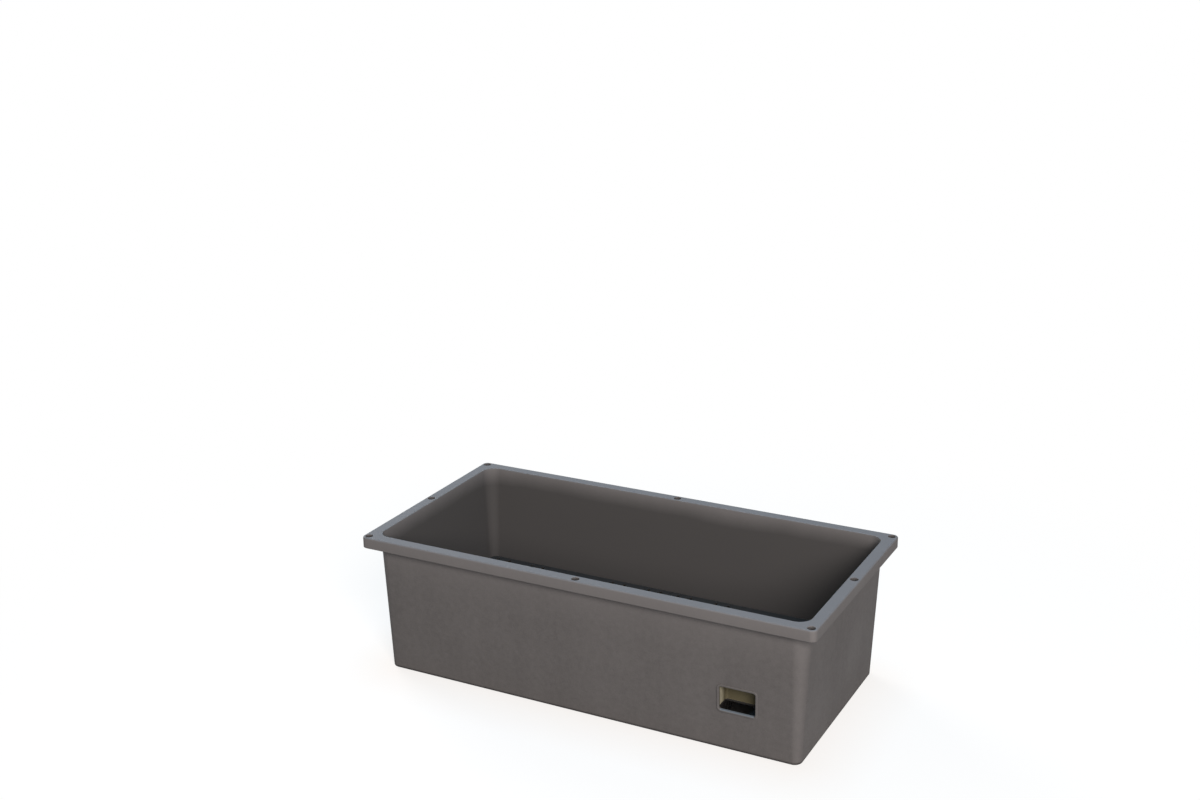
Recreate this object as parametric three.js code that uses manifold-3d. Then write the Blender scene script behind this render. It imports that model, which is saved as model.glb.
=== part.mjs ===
// Self-watering planter box, in millimetres with +Z up.
// X runs along the box, the fill port is low in the front wall at -Y, and the origin lies on
// the ground under the middle of the box.

import * as THREE from "three";
import { mergeGeometries, mergeVertices } from "three/addons/utils/BufferGeometryUtils.js";
import Module from "manifold-3d";

const wasm = await Module();
wasm.setup();

// Box: the outside of the rim, the drafted walls and the base
const RIM_LENGTH = 800;
const RIM_WIDTH = 400;
const HEIGHT = 245;
const WALL = 3;
const DRAFT = THREE.MathUtils.degToRad(2.6);
const WALL_CORNER_RADIUS = 25;
const BASE_THICKNESS = 3;
const BASE_EDGE_RADIUS = 3;
const FLOOR_EDGE_RADIUS = 6;
const FOOT_HEIGHT = 3;
const FOOT_WIDTH = 14;
const BASE_RIB_WIDTH = 5;
const BASE_RIB_RISE = 0.5;
const BASE_RIB_PITCH = 160;

// Turned-down rim with its holes, the bosses under them and the gussets
const RIM_OVERHANG = 17;
const RIM_SKIRT = 19;
const RIM_THICKNESS = 3;
const RIM_CORNER_RADIUS = 10;
const RIM_EDGE_RADIUS = 2.5;
const RIM_LIP_RADIUS = 1;
const RIM_HOLE_DIAMETER = 13;
const RIM_HOLE_INSET = 10;
const RIM_BOSS_WALL = 1.8;
const RIM_BOSS_DEPTH = 14;
const GUSSET_THICKNESS = 2;
const GUSSET_PITCH = 95;

// Fill and overflow port: its sill sets the highest water level
const PORT_FROM_END = 130;
const PORT_SILL = 69;
const PORT_WIDTH = 60;
const PORT_HEIGHT = 40.5;
const PORT_CORNER_RADIUS = 4;
const PORT_FRAME_WIDTH = 4;
const PORT_FRAME_PROUD = 2;
const PORT_FRAME_EDGE_RADIUS = 1.4;
const PORT_SLEEVE_WALL = 2;
const PORT_SLEEVE_SET_BACK = 0.25;

// Platform over the reservoir, in two halves
const SCREEN_ABOVE_SILL = 4;
const SCREEN_THICKNESS = 3;
const SCREEN_EDGE_DEPTH = 13;
const SCREEN_WALL = 2.5;
const SCREEN_RIB_RISE = 2;
const SCREEN_WALL_GAP = 1.5;
const SCREEN_SEAM_GAP = 1;
const SEAT_RIB_DEPTH = 8;
const SEAT_RIB_THICKNESS = 3;
const SLOT_WIDTH = 5;
const SLOT_ROWS = 5;
const SLOT_BAR = 19;
const SLOT_BRIDGE = 11;
const SLOT_MARGIN = 4;

// Push-in legs under the platform
const LEG_SPIGOT_DIAMETER = 17;
const LEG_WALL = 2.2;
const LEG_SHOULDER = 3;
const LEG_TAPER = 2;
const LEG_FOOT_DIAMETER = 36;
const LEG_FOOT_THICKNESS = 3;
const LEG_DRAIN_WIDTH = 6;
const LEG_CHAMFER = 1;

// Wicking baskets that hang through the platform
const BASKET_MOUTH = 80;
const BASKET_BASE = 58;
const BASKET_WALL = 2;
const BASKET_CORNER_RADIUS = 11;
const BASKET_EDGE_RADIUS = 3;
const BASKET_FLANGE_WIDTH = 6;
const BASKET_FLANGE_THICKNESS = 2.5;
const BASKET_FLOOR_GAP = 2;
const BASKET_SLOT_WIDTH = 4;
const BASKET_SLOT_BAR = 9;
const BASKET_SLOT_MARGIN = 9;

// Hood over the port, standing on the platform
const HOOD_DEPTH = 26;
const HOOD_WALL = 2;
const HOOD_SIDE_ROOM = 1;
const HOOD_HEAD_ROOM = 2;
const HOOD_CORNER_RADIUS = 5;
const HOOD_FLANGE_WIDTH = 6;
const HOOD_FLANGE_THICKNESS = 2;
const HOOD_PEG_DIAMETER = 3.5;
const HOOD_PEG_LENGTH = 5;

// Clearances: between resting faces, between pieces that slide together, and past a face that is cut
const SEAT_GAP = 0.3;
const SLIDE_GAP = 0.4;
const OVERCUT = 1;

// Facets on the round stretches
const BOX_CORNER_STEPS = 8;
const SMALL_CORNER_STEPS = 4;
const EDGE_STEPS = 3;
const SLOT_END_STEPS = 2;
const HOLE_SIDES = 16;
const LEG_SIDES = 12;
const PEG_SIDES = 8;

// Levels and places that follow from the sizes above
const FLOOR_LEVEL = FOOT_HEIGHT + BASE_THICKNESS;
const SCREEN_TOP = PORT_SILL + SCREEN_ABOVE_SILL;
const SCREEN_UNDERSIDE = SCREEN_TOP - SCREEN_THICKNESS;
const SCREEN_BOTTOM = SCREEN_TOP - SCREEN_EDGE_DEPTH;
const PORT_X = RIM_LENGTH / 2 - PORT_FROM_END;
const PORT_Z = PORT_SILL + PORT_HEIGHT / 2;
const QUARTER = Math.PI / 2;

const SCREEN_EDGE = wallSection(SCREEN_BOTTOM, WALL + SCREEN_WALL_GAP);
const SCREEN_START = SCREEN_SEAM_GAP / 2;
const SCREEN_MIDDLE = (SCREEN_START + SCREEN_EDGE.x) / 2;
const BASKET_OPENING = BASKET_MOUTH + 2 * SLIDE_GAP;
const BASKET_Y = SCREEN_EDGE.y / 2;
const LEG_SPREAD = (SCREEN_EDGE.x - SCREEN_MIDDLE + BASKET_OPENING / 2) / 2;
const LEG_PLACES = [
  [SCREEN_MIDDLE - LEG_SPREAD, -BASKET_Y],
  [SCREEN_MIDDLE - LEG_SPREAD, BASKET_Y],
  [SCREEN_MIDDLE, 0],
  [SCREEN_MIDDLE + LEG_SPREAD, -BASKET_Y],
  [SCREEN_MIDDLE + LEG_SPREAD, BASKET_Y],
];
const SLOT_EDGE = SCREEN_WALL + SLOT_MARGIN;
const SLOT_ROW_PITCH = (2 * (SCREEN_EDGE.y - SLOT_EDGE) + SLOT_BRIDGE) / SLOT_ROWS;
const SLOT_LENGTH = SLOT_ROW_PITCH - SLOT_BRIDGE;
const SOCKET_BORE_RADIUS = LEG_SPIGOT_DIAMETER / 2 + SLIDE_GAP;
const SOCKET_RADIUS = SOCKET_BORE_RADIUS + SCREEN_WALL;

const HOOD_INNER_WIDTH = PORT_WIDTH + 2 * HOOD_SIDE_ROOM;
const HOOD_BACK = -wallSection(SCREEN_TOP, WALL).y + HOOD_DEPTH;
const HOOD_BOTTOM = SCREEN_TOP + SEAT_GAP;
const HOOD_INNER_TOP = PORT_SILL + PORT_HEIGHT + HOOD_HEAD_ROOM;
const HOOD_PEG_X = HOOD_INNER_WIDTH / 2 + HOOD_WALL + HOOD_FLANGE_WIDTH / 2;
const HOOD_PEG_Y = HOOD_BACK - HOOD_DEPTH / 2;

// Section of the drafted wall at one height, moved inwards by an inset; its corners narrow downwards
function wallSection(z, inset = 0) {
  const lean = (HEIGHT - z) * Math.tan(DRAFT);
  return {
    x: RIM_LENGTH / 2 - RIM_OVERHANG - lean - inset,
    y: RIM_WIDTH / 2 - RIM_OVERHANG - lean - inset,
    r: Math.max(WALL_CORNER_RADIUS - lean - inset, WALL),
    z,
  };
}

// Section of the rim's upright skirt at one height, moved inwards by an inset
function rimSection(z, inset = 0) {
  return {
    x: RIM_LENGTH / 2 - inset,
    y: RIM_WIDTH / 2 - inset,
    r: Math.max(RIM_CORNER_RADIUS - inset, RIM_LIP_RADIUS),
    z,
  };
}

// Sections along a round edge: the arc turns about (inset, z) from one angle to another
function edgeArc(section, inset, z, radius, from, to) {
  const sections = [];
  for (let step = 0; step <= EDGE_STEPS; step += 1) {
    const angle = from + (to - from) * step / EDGE_STEPS;
    sections.push(section(z + radius * Math.sin(angle), inset - radius * Math.cos(angle)));
  }
  return sections;
}

// Surface through rounded-rectangle sections, capped at both ends or closed on itself as a ring
function loft(sections, cornerSteps, closed = false) {
  const positions = [];
  const triangles = [];
  const count = 4 * (cornerSteps + 1);
  for (const { x, y, r, z } of sections) {
    for (let corner = 0; corner < 4; corner += 1) {
      const centreX = (corner === 0 || corner === 3 ? 1 : -1) * (x - r);
      const centreY = (corner < 2 ? 1 : -1) * (y - r);
      for (let step = 0; step <= cornerSteps; step += 1) {
        const angle = (corner + step / cornerSteps) * QUARTER;
        positions.push(centreX + r * Math.cos(angle), centreY + r * Math.sin(angle), z);
      }
    }
  }
  const strips = closed ? sections.length : sections.length - 1;
  for (let strip = 0; strip < strips; strip += 1) {
    const low = strip * count;
    const high = ((strip + 1) % sections.length) * count;
    for (let k = 0; k < count; k += 1) {
      const next = (k + 1) % count;
      triangles.push(low + k, low + next, high + next, low + k, high + next, high + k);
    }
  }
  if (!closed) {
    const last = (sections.length - 1) * count;
    const first = positions.length / 3;
    positions.push(0, 0, sections[0].z, 0, 0, sections[sections.length - 1].z);
    for (let k = 0; k < count; k += 1) {
      const next = (k + 1) % count;
      triangles.push(first, next, k, first + 1, last + k, last + next);
    }
  }
  const geometry = new THREE.BufferGeometry();
  geometry.setAttribute("position", new THREE.Float32BufferAttribute(positions, 3));
  geometry.setIndex(triangles);
  return geometry;
}

// Closed geometry as a solid that can be joined and cut
function solid(geometry) {
  const bare = geometry.clone();
  bare.deleteAttribute("normal");
  bare.deleteAttribute("uv");
  const merged = mergeVertices(bare);
  const corners = merged.index.array;
  const triangles = [];
  for (let k = 0; k < corners.length; k += 3) {
    const [a, b, c] = [corners[k], corners[k + 1], corners[k + 2]];
    if (a !== b && b !== c && c !== a) triangles.push(a, b, c);
  }
  return new wasm.Manifold(new wasm.Mesh({
    numProp: 3,
    vertProperties: new Float32Array(merged.attributes.position.array),
    triVerts: new Uint32Array(triangles),
  }));
}

// Solid back as a geometry
function geometryOf(body) {
  const mesh = body.getMesh();
  const geometry = new THREE.BufferGeometry();
  geometry.setAttribute("position", new THREE.Float32BufferAttribute(mesh.vertProperties, 3));
  geometry.setIndex(Array.from(mesh.triVerts));
  geometry.computeVertexNormals();
  return geometry;
}

// Flat shape, or a list of them, extruded upwards between two levels
function prism(shape, bottom, top, arcSteps = SMALL_CORNER_STEPS) {
  const geometry = new THREE.ExtrudeGeometry(shape, {
    depth: top - bottom,
    bevelEnabled: false,
    curveSegments: arcSteps / 2,
  });
  return geometry.translate(0, 0, bottom);
}

// Upright box given by its middle in plan, its sizes and its lowest and highest level
function block(x, y, length, width, bottom, top) {
  const geometry = new THREE.BoxGeometry(length, width, top - bottom);
  return geometry.translate(x, y, (bottom + top) / 2);
}

// Upright round bar
function bar(x, y, radius, bottom, top, sides) {
  const geometry = new THREE.CylinderGeometry(radius, radius, top - bottom, sides);
  return geometry.rotateX(QUARTER).translate(x, y, (bottom + top) / 2);
}

function roundedRectangle(x, y, length, width, radius) {
  const shape = new THREE.Shape();
  const [left, right] = [x - length / 2, x + length / 2];
  const [front, back] = [y - width / 2, y + width / 2];
  shape.absarc(right - radius, front + radius, radius, -QUARTER, 0);
  shape.absarc(right - radius, back - radius, radius, 0, QUARTER);
  shape.absarc(left + radius, back - radius, radius, QUARTER, 2 * QUARTER);
  shape.absarc(left + radius, front + radius, radius, 2 * QUARTER, 3 * QUARTER);
  return shape;
}

// Places for as many pieces of one size as fit along a span, a pitch apart and centred on zero
function spread(span, size, pitch) {
  const count = 1 + Math.max(0, Math.floor((span - size) / pitch));
  return Array.from({ length: count }, (_, k) => (k - (count - 1) / 2) * pitch);
}

// Frame on the front wall: X along the box, Y up the wall and Z out of it
function onFrontWall(x, z) {
  const along = new THREE.Vector3(1, 0, 0);
  const up = new THREE.Vector3(0, -Math.sin(DRAFT), Math.cos(DRAFT));
  const out = new THREE.Vector3().crossVectors(along, up);
  return new THREE.Matrix4().makeBasis(along, up, out).setPosition(x, -wallSection(z).y, z);
}

// Shell of the tub: one profile carried round the box, from under the base, up the outside,
// over the rim and down the inside to the floor
function tubShell() {
  const base = BASE_EDGE_RADIUS;
  const underRim = HEIGHT - RIM_THICKNESS;
  const lip = HEIGHT - RIM_SKIRT + RIM_LIP_RADIUS;
  return loft([
    wallSection(FOOT_HEIGHT, base + FOOT_WIDTH),
    wallSection(0, base + FOOT_WIDTH),
    ...edgeArc(wallSection, base, base, base, -QUARTER, 0),
    wallSection(underRim),
    rimSection(underRim, RIM_THICKNESS),
    ...edgeArc(rimSection, RIM_THICKNESS - RIM_LIP_RADIUS, lip, RIM_LIP_RADIUS, -2 * QUARTER, -QUARTER),
    ...edgeArc(rimSection, RIM_LIP_RADIUS, lip, RIM_LIP_RADIUS, -QUARTER, 0),
    ...edgeArc(rimSection, RIM_EDGE_RADIUS, HEIGHT - RIM_EDGE_RADIUS, RIM_EDGE_RADIUS, 0, QUARTER),
    ...edgeArc(wallSection, WALL - RIM_LIP_RADIUS, HEIGHT - RIM_LIP_RADIUS, RIM_LIP_RADIUS,
      QUARTER, 2 * QUARTER),
    ...edgeArc(wallSection, WALL + FLOOR_EDGE_RADIUS, FLOOR_LEVEL + FLOOR_EDGE_RADIUS,
      FLOOR_EDGE_RADIUS, 0, -QUARTER),
  ], BOX_CORNER_STEPS);
}

// Raised frame round the port with a sleeve through the wall, in the front wall's own frame
function portFrame() {
  const edge = PORT_FRAME_EDGE_RADIUS;
  const crown = PORT_FRAME_PROUD - edge;
  const back = PORT_SLEEVE_SET_BACK - WALL;
  const root = -WALL / 2;
  const section = (z, inset) => ({
    x: PORT_WIDTH / 2 + PORT_FRAME_WIDTH - inset,
    y: PORT_HEIGHT / 2 + PORT_FRAME_WIDTH - inset,
    r: PORT_CORNER_RADIUS + PORT_FRAME_WIDTH - inset,
    z,
  });
  const sleeve = PORT_FRAME_WIDTH - PORT_SLEEVE_WALL;
  return loft([
    section(root, 0),
    ...edgeArc(section, edge, crown, edge, 0, QUARTER),
    ...edgeArc(section, PORT_FRAME_WIDTH - edge, crown, edge, QUARTER, 2 * QUARTER),
    section(back, PORT_FRAME_WIDTH),
    section(back, sleeve),
    section(root, sleeve),
  ], SMALL_CORNER_STEPS, true).applyMatrix4(onFrontWall(PORT_X, PORT_Z));
}

// Rim holes: one at each corner and one in the middle of each side
function rimHolePlaces() {
  const x = RIM_LENGTH / 2 - RIM_HOLE_INSET;
  const y = RIM_WIDTH / 2 - RIM_HOLE_INSET;
  return [[x, y], [0, y], [-x, y], [-x, 0], [-x, -y], [0, -y], [x, -y], [x, 0]];
}

// Gussets that tie the skirt of the rim to the wall
function gussets() {
  const top = HEIGHT - RIM_THICKNESS / 2;
  const bottom = HEIGHT - RIM_SKIRT + 2 * RIM_LIP_RADIUS;
  const wall = wallSection(bottom, WALL / 2);
  const rim = rimSection(bottom, RIM_THICKNESS / 2);
  const straight = rim.x - wall.x;
  const ribs = [];
  for (const side of [-1, 1]) {
    for (const x of spread(2 * (wall.x - wall.r), GUSSET_THICKNESS, GUSSET_PITCH)) {
      ribs.push(block(x, side * (wall.y + rim.y) / 2, GUSSET_THICKNESS, straight, bottom, top));
    }
    for (const y of spread(2 * (wall.y - wall.r), GUSSET_THICKNESS, GUSSET_PITCH)) {
      ribs.push(block(side * (wall.x + rim.x) / 2, y, straight, GUSSET_THICKNESS, bottom, top));
    }
  }
  return mergeGeometries(ribs);
}

// One rib that stands against a wall: reach gives the wall's distance from the middle of the box
function seatRib(reach) {
  const top = SCREEN_BOTTOM - SEAT_GAP;
  const bottom = FLOOR_LEVEL - BASE_THICKNESS / 2;
  const face = reach(wallSection(top, WALL)) - SEAT_RIB_DEPTH;
  const side = new THREE.Shape([
    new THREE.Vector2(face, bottom),
    new THREE.Vector2(reach(wallSection(bottom, WALL / 2)), bottom),
    new THREE.Vector2(reach(wallSection(top, WALL / 2)), top),
    new THREE.Vector2(face, top),
  ]);
  return prism(side, -SEAT_RIB_THICKNESS / 2, SEAT_RIB_THICKNESS / 2).rotateX(QUARTER);
}

// Upright ribs inside the walls that carry the edge of the platform
function seatRibs() {
  const columns = [-1, 0, 1].map((k) => SCREEN_MIDDLE + k * LEG_SPREAD).flatMap((x) => [-x, x]);
  const besidePort = (x) => Math.abs(x - PORT_X) > PORT_WIDTH / 2 + PORT_FRAME_WIDTH;
  const onLongWall = (x, turn) => seatRib((section) => section.y).rotateZ(turn).translate(x, 0, 0);
  const onShortWall = (y, turn) => seatRib((section) => section.x).rotateZ(turn).translate(0, y, 0);
  return mergeGeometries([
    ...columns.map((x) => onLongWall(x, QUARTER)),
    ...columns.filter(besidePort).map((x) => onLongWall(x, -QUARTER)),
    ...[-BASKET_Y, BASKET_Y].flatMap((y) => [onShortWall(y, 0), onShortWall(y, 2 * QUARTER)]),
  ]);
}

// Ribs under the base, a little clear of the ground between the sides of the foot ring
function baseRibs() {
  const foot = wallSection(0, BASE_EDGE_RADIUS + FOOT_WIDTH / 2);
  const top = FOOT_HEIGHT + BASE_THICKNESS / 2;
  const ribs = spread(2 * foot.x, BASE_RIB_WIDTH, BASE_RIB_PITCH).map(
    (x) => block(x, 0, BASE_RIB_WIDTH, 2 * foot.y, BASE_RIB_RISE, top),
  );
  return mergeGeometries(ribs);
}

function planterBox() {
  const port = roundedRectangle(
    0, 0, PORT_WIDTH + PORT_SLEEVE_WALL, PORT_HEIGHT + PORT_SLEEVE_WALL, PORT_CORNER_RADIUS,
  );
  const portCut = prism(port, -2 * WALL, 2 * WALL).applyMatrix4(onFrontWall(PORT_X, PORT_Z));
  const bossRadius = RIM_HOLE_DIAMETER / 2 + RIM_BOSS_WALL;
  const bosses = rimHolePlaces().map(
    ([x, y]) => bar(x, y, bossRadius, HEIGHT - RIM_BOSS_DEPTH, HEIGHT - RIM_THICKNESS / 2, HOLE_SIDES),
  );
  const holes = rimHolePlaces().map(
    ([x, y]) => bar(x, y, RIM_HOLE_DIAMETER / 2, HEIGHT - RIM_SKIRT, HEIGHT + OVERCUT, HOLE_SIDES),
  );
  return geometryOf(
    solid(tubShell())
      .subtract(solid(portCut))
      .add(solid(portFrame()))
      .add(solid(gussets()))
      .add(solid(seatRibs()))
      .add(solid(baseRibs()))
      .add(solid(mergeGeometries(bosses)))
      .subtract(solid(mergeGeometries(holes))),
  );
}

// Plan of one half of the platform, from the seam to the far end, moved inwards by an inset
function screenPlan(inset) {
  const start = SCREEN_START + inset;
  const end = SCREEN_EDGE.x - inset;
  const half = SCREEN_EDGE.y - inset;
  const radius = SCREEN_EDGE.r - inset;
  const shape = new THREE.Shape();
  shape.absarc(end - radius, -half + radius, radius, -QUARTER, 0);
  shape.absarc(end - radius, half - radius, radius, 0, QUARTER);
  shape.lineTo(start, half);
  shape.lineTo(start, -half);
  return shape;
}

// Slot with round ends, running across the box
function slotShape(x, y) {
  const straight = (SLOT_LENGTH - SLOT_WIDTH) / 2;
  const shape = new THREE.Shape();
  shape.absarc(x, y + straight, SLOT_WIDTH / 2, 0, 2 * QUARTER);
  shape.absarc(x, y - straight, SLOT_WIDTH / 2, 2 * QUARTER, 4 * QUARTER);
  return shape;
}

// Slots wherever they clear the edge, the ribs, the baskets, the leg sockets and the hood
function screenSlots(hasHood) {
  const basketHalf = BASKET_MOUTH / 2 + BASKET_FLANGE_WIDTH;
  const hoodRim = HOOD_WALL + HOOD_FLANGE_WIDTH;
  const keepOut = [
    ...[-BASKET_Y, BASKET_Y].map((y) => [SCREEN_MIDDLE, y, basketHalf, basketHalf]),
    ...LEG_PLACES.map(([x, y]) => [x, y, SOCKET_RADIUS, SOCKET_RADIUS]),
    ...[-1, 1].map((k) => [SCREEN_MIDDLE + k * LEG_SPREAD, 0, SCREEN_WALL / 2, SCREEN_EDGE.y]),
  ];
  if (hasHood) keepOut.push([PORT_X, HOOD_BACK, HOOD_INNER_WIDTH / 2 + hoodRim, hoodRim]);
  const clear = (x, y) => keepOut.every(([centreX, centreY, halfX, halfY]) => (
    Math.abs(x - centreX) > halfX + SLOT_WIDTH / 2 + SLOT_MARGIN
    || Math.abs(y - centreY) > halfY + SLOT_LENGTH / 2 + SLOT_MARGIN
  ));
  const columns = spread(
    SCREEN_EDGE.x - SCREEN_START - 2 * SLOT_EDGE, SLOT_WIDTH, SLOT_WIDTH + SLOT_BAR,
  );
  const rows = Array.from({ length: SLOT_ROWS }, (_, k) => (k - (SLOT_ROWS - 1) / 2) * SLOT_ROW_PITCH);
  const slots = columns
    .flatMap((x) => rows.map((y) => [SCREEN_MIDDLE + x, y]))
    .filter(([x, y]) => clear(x, y))
    .map(([x, y]) => slotShape(x, y));
  return prism(slots, SCREEN_UNDERSIDE - OVERCUT, SCREEN_TOP + OVERCUT, SLOT_END_STEPS);
}

function screenHalf(hasHood) {
  const lap = SCREEN_UNDERSIDE + SCREEN_THICKNESS / 2;
  const outside = prism(screenPlan(0), SCREEN_BOTTOM, SCREEN_TOP, BOX_CORNER_STEPS);
  const below = SCREEN_BOTTOM - OVERCUT;
  const hollow = prism(screenPlan(SCREEN_WALL), below, SCREEN_UNDERSIDE, BOX_CORNER_STEPS);
  const sockets = LEG_PLACES.map(([x, y]) => bar(x, y, SOCKET_RADIUS, SCREEN_BOTTOM, lap, LEG_SIDES));
  const bores = LEG_PLACES.map(
    ([x, y]) => bar(x, y, SOCKET_BORE_RADIUS, below, SCREEN_UNDERSIDE, LEG_SIDES),
  );
  const collarSize = BASKET_OPENING + 2 * SCREEN_WALL;
  const radius = BASKET_CORNER_RADIUS + SLIDE_GAP;
  const baskets = [-BASKET_Y, BASKET_Y];
  const collars = baskets.map((y) => prism(
    roundedRectangle(SCREEN_MIDDLE, y, collarSize, collarSize, radius + SCREEN_WALL), SCREEN_BOTTOM, lap,
  ));
  const openings = baskets.map((y) => prism(
    roundedRectangle(SCREEN_MIDDLE, y, BASKET_OPENING, BASKET_OPENING, radius), below, SCREEN_TOP + OVERCUT,
  ));
  const width = 2 * SCREEN_EDGE.y - SCREEN_WALL;
  const ribs = [-1, 1].map((k) => block(
    SCREEN_MIDDLE + k * LEG_SPREAD, 0, SCREEN_WALL, width, SCREEN_BOTTOM + SCREEN_RIB_RISE, lap,
  ));
  let half = solid(outside)
    .subtract(solid(hollow))
    .add(solid(mergeGeometries(ribs)))
    .add(solid(mergeGeometries(sockets)))
    .add(solid(mergeGeometries(collars)))
    .subtract(solid(mergeGeometries(bores)))
    .subtract(solid(mergeGeometries(openings)))
    .subtract(solid(screenSlots(hasHood)));
  if (hasHood) {
    const front = -SCREEN_EDGE.y - OVERCUT;
    const rim = HOOD_WALL + HOOD_FLANGE_WIDTH;
    const notch = block(PORT_X, (front + HOOD_BACK) / 2, HOOD_INNER_WIDTH, HOOD_BACK - front,
      below, SCREEN_TOP + OVERCUT);
    const relief = block(PORT_X, (front + HOOD_BACK + rim) / 2, HOOD_INNER_WIDTH + 2 * rim,
      HOOD_BACK + rim - front, below, SCREEN_UNDERSIDE);
    const pegHoles = [-1, 1].map((side) => bar(
      PORT_X + side * HOOD_PEG_X, HOOD_PEG_Y, HOOD_PEG_DIAMETER / 2 + SLIDE_GAP,
      SCREEN_UNDERSIDE - OVERCUT, SCREEN_TOP + OVERCUT, PEG_SIDES,
    ));
    half = half
      .subtract(solid(notch))
      .subtract(solid(relief))
      .subtract(solid(mergeGeometries(pegHoles)));
  }
  return geometryOf(half);
}

// Leg: a hollow tapered post on a broad foot, with a spigot for the socket of the platform
function leg() {
  const spigot = LEG_SPIGOT_DIAMETER / 2;
  const shoulder = spigot + LEG_SHOULDER;
  const foot = LEG_FOOT_DIAMETER / 2;
  const bottom = FLOOR_LEVEL + SEAT_GAP;
  const top = SCREEN_UNDERSIDE - SLIDE_GAP;
  const shoulderLevel = SCREEN_BOTTOM - SEAT_GAP;
  const profile = [
    [0, top - LEG_WALL],
    [spigot - LEG_WALL, top - LEG_WALL],
    [spigot - LEG_WALL, shoulderLevel - LEG_WALL],
    [shoulder + LEG_TAPER - LEG_WALL, bottom],
    [foot, bottom],
    [foot, bottom + LEG_FOOT_THICKNESS],
    [shoulder + LEG_TAPER, bottom + 2 * LEG_FOOT_THICKNESS],
    [shoulder, shoulderLevel],
    [spigot, shoulderLevel],
    [spigot, top - LEG_CHAMFER],
    [spigot - LEG_CHAMFER, top],
    [0, top],
  ].map(([radius, z]) => new THREE.Vector2(radius, z));
  const post = new THREE.LatheGeometry(profile, LEG_SIDES).rotateX(QUARTER);
  const drain = block(0, 0, LEG_FOOT_DIAMETER + OVERCUT, LEG_DRAIN_WIDTH, bottom - OVERCUT,
    bottom + LEG_FOOT_THICKNESS / 2);
  return geometryOf(solid(post).subtract(solid(drain)));
}

// Wicking basket: a drafted square cup with slotted walls, hung by its flange
function basket() {
  const bottom = FLOOR_LEVEL + BASKET_FLOOR_GAP;
  const seat = SCREEN_TOP + SEAT_GAP;
  const top = seat + BASKET_FLANGE_THICKNESS;
  const flare = (BASKET_MOUTH - BASKET_BASE) / (2 * (seat - bottom));
  const section = (z, inset) => {
    const half = BASKET_BASE / 2 + flare * (z - bottom) - inset;
    return { x: half, y: half, r: BASKET_CORNER_RADIUS - inset, z };
  };
  const edge = BASKET_EDGE_RADIUS;
  const cup = solid(loft([
    ...edgeArc(section, edge, bottom + edge, edge, -QUARTER, 0),
    section(seat, 0),
    section(seat, -BASKET_FLANGE_WIDTH),
    section(top, -BASKET_FLANGE_WIDTH),
    section(top, BASKET_WALL),
    section(bottom + BASKET_WALL, BASKET_WALL),
  ], SMALL_CORNER_STEPS));
  const reach = BASKET_MOUTH + 2 * BASKET_FLANGE_WIDTH;
  const low = bottom + BASKET_SLOT_MARGIN;
  const high = SCREEN_BOTTOM - BASKET_SLOT_MARGIN / 2;
  const floorSlot = BASKET_BASE - 2 * BASKET_SLOT_MARGIN;
  const columns = spread(floorSlot, BASKET_SLOT_WIDTH, BASKET_SLOT_WIDTH + BASKET_SLOT_BAR);
  const alongX = columns.map((y) => block(0, y, reach, BASKET_SLOT_WIDTH, low, high));
  const alongY = columns.map((x) => block(x, 0, BASKET_SLOT_WIDTH, reach, low, high));
  const below = columns.map(
    (x) => block(x, 0, BASKET_SLOT_WIDTH, floorSlot, bottom - OVERCUT, bottom + 2 * BASKET_WALL),
  );
  return geometryOf([alongX, alongY, below].reduce(
    (cut, slots) => cut.subtract(solid(mergeGeometries(slots))), cup,
  ));
}

// Hood over the port: a pocket open to the front and below, on a flange that pegs into the platform
function portHood() {
  const pocket = (outset) => {
    const length = 2 * HOOD_DEPTH + 2 * outset;
    return roundedRectangle(PORT_X, HOOD_BACK + outset - length / 2, HOOD_INNER_WIDTH + 2 * outset, length,
      HOOD_CORNER_RADIUS + outset);
  };
  const shell = prism(pocket(HOOD_WALL), HOOD_BOTTOM, HOOD_INNER_TOP + HOOD_WALL);
  const inside = prism(pocket(0), HOOD_BOTTOM - OVERCUT, HOOD_INNER_TOP);
  const rim = pocket(HOOD_WALL + HOOD_FLANGE_WIDTH);
  const flange = prism(rim, HOOD_BOTTOM, HOOD_BOTTOM + HOOD_FLANGE_THICKNESS);
  const pegs = [-1, 1].map((side) => bar(
    PORT_X + side * HOOD_PEG_X, HOOD_PEG_Y, HOOD_PEG_DIAMETER / 2,
    HOOD_BOTTOM - HOOD_PEG_LENGTH, HOOD_BOTTOM + HOOD_FLANGE_THICKNESS / 2, PEG_SIDES,
  ));
  const trim = new THREE.BoxGeometry(RIM_LENGTH, RIM_WIDTH, RIM_WIDTH)
    .translate(0, 0, RIM_WIDTH / 2 - WALL - SLIDE_GAP)
    .applyMatrix4(onFrontWall(PORT_X, PORT_Z));
  return geometryOf(
    solid(shell)
      .add(solid(flange))
      .subtract(solid(inside))
      .add(solid(mergeGeometries(pegs)))
      .subtract(solid(trim)),
  );
}

// Materials
const charcoalPlastic = new THREE.MeshStandardMaterial({ color: 0x605b58, roughness: 0.55, metalness: 0 });
const blackPlastic = new THREE.MeshStandardMaterial({ color: 0x26282b, roughness: 0.6, metalness: 0 });
const khakiPlastic = new THREE.MeshStandardMaterial({ color: 0x7e735f, roughness: 0.6, metalness: 0 });

function addPiece(group, name, geometry, material, x = 0, y = 0) {
  const piece = new THREE.Mesh(geometry, material.clone());
  piece.name = name;
  piece.position.set(x, y, 0);
  group.add(piece);
}

const LEG = leg();
const BASKET = basket();

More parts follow.
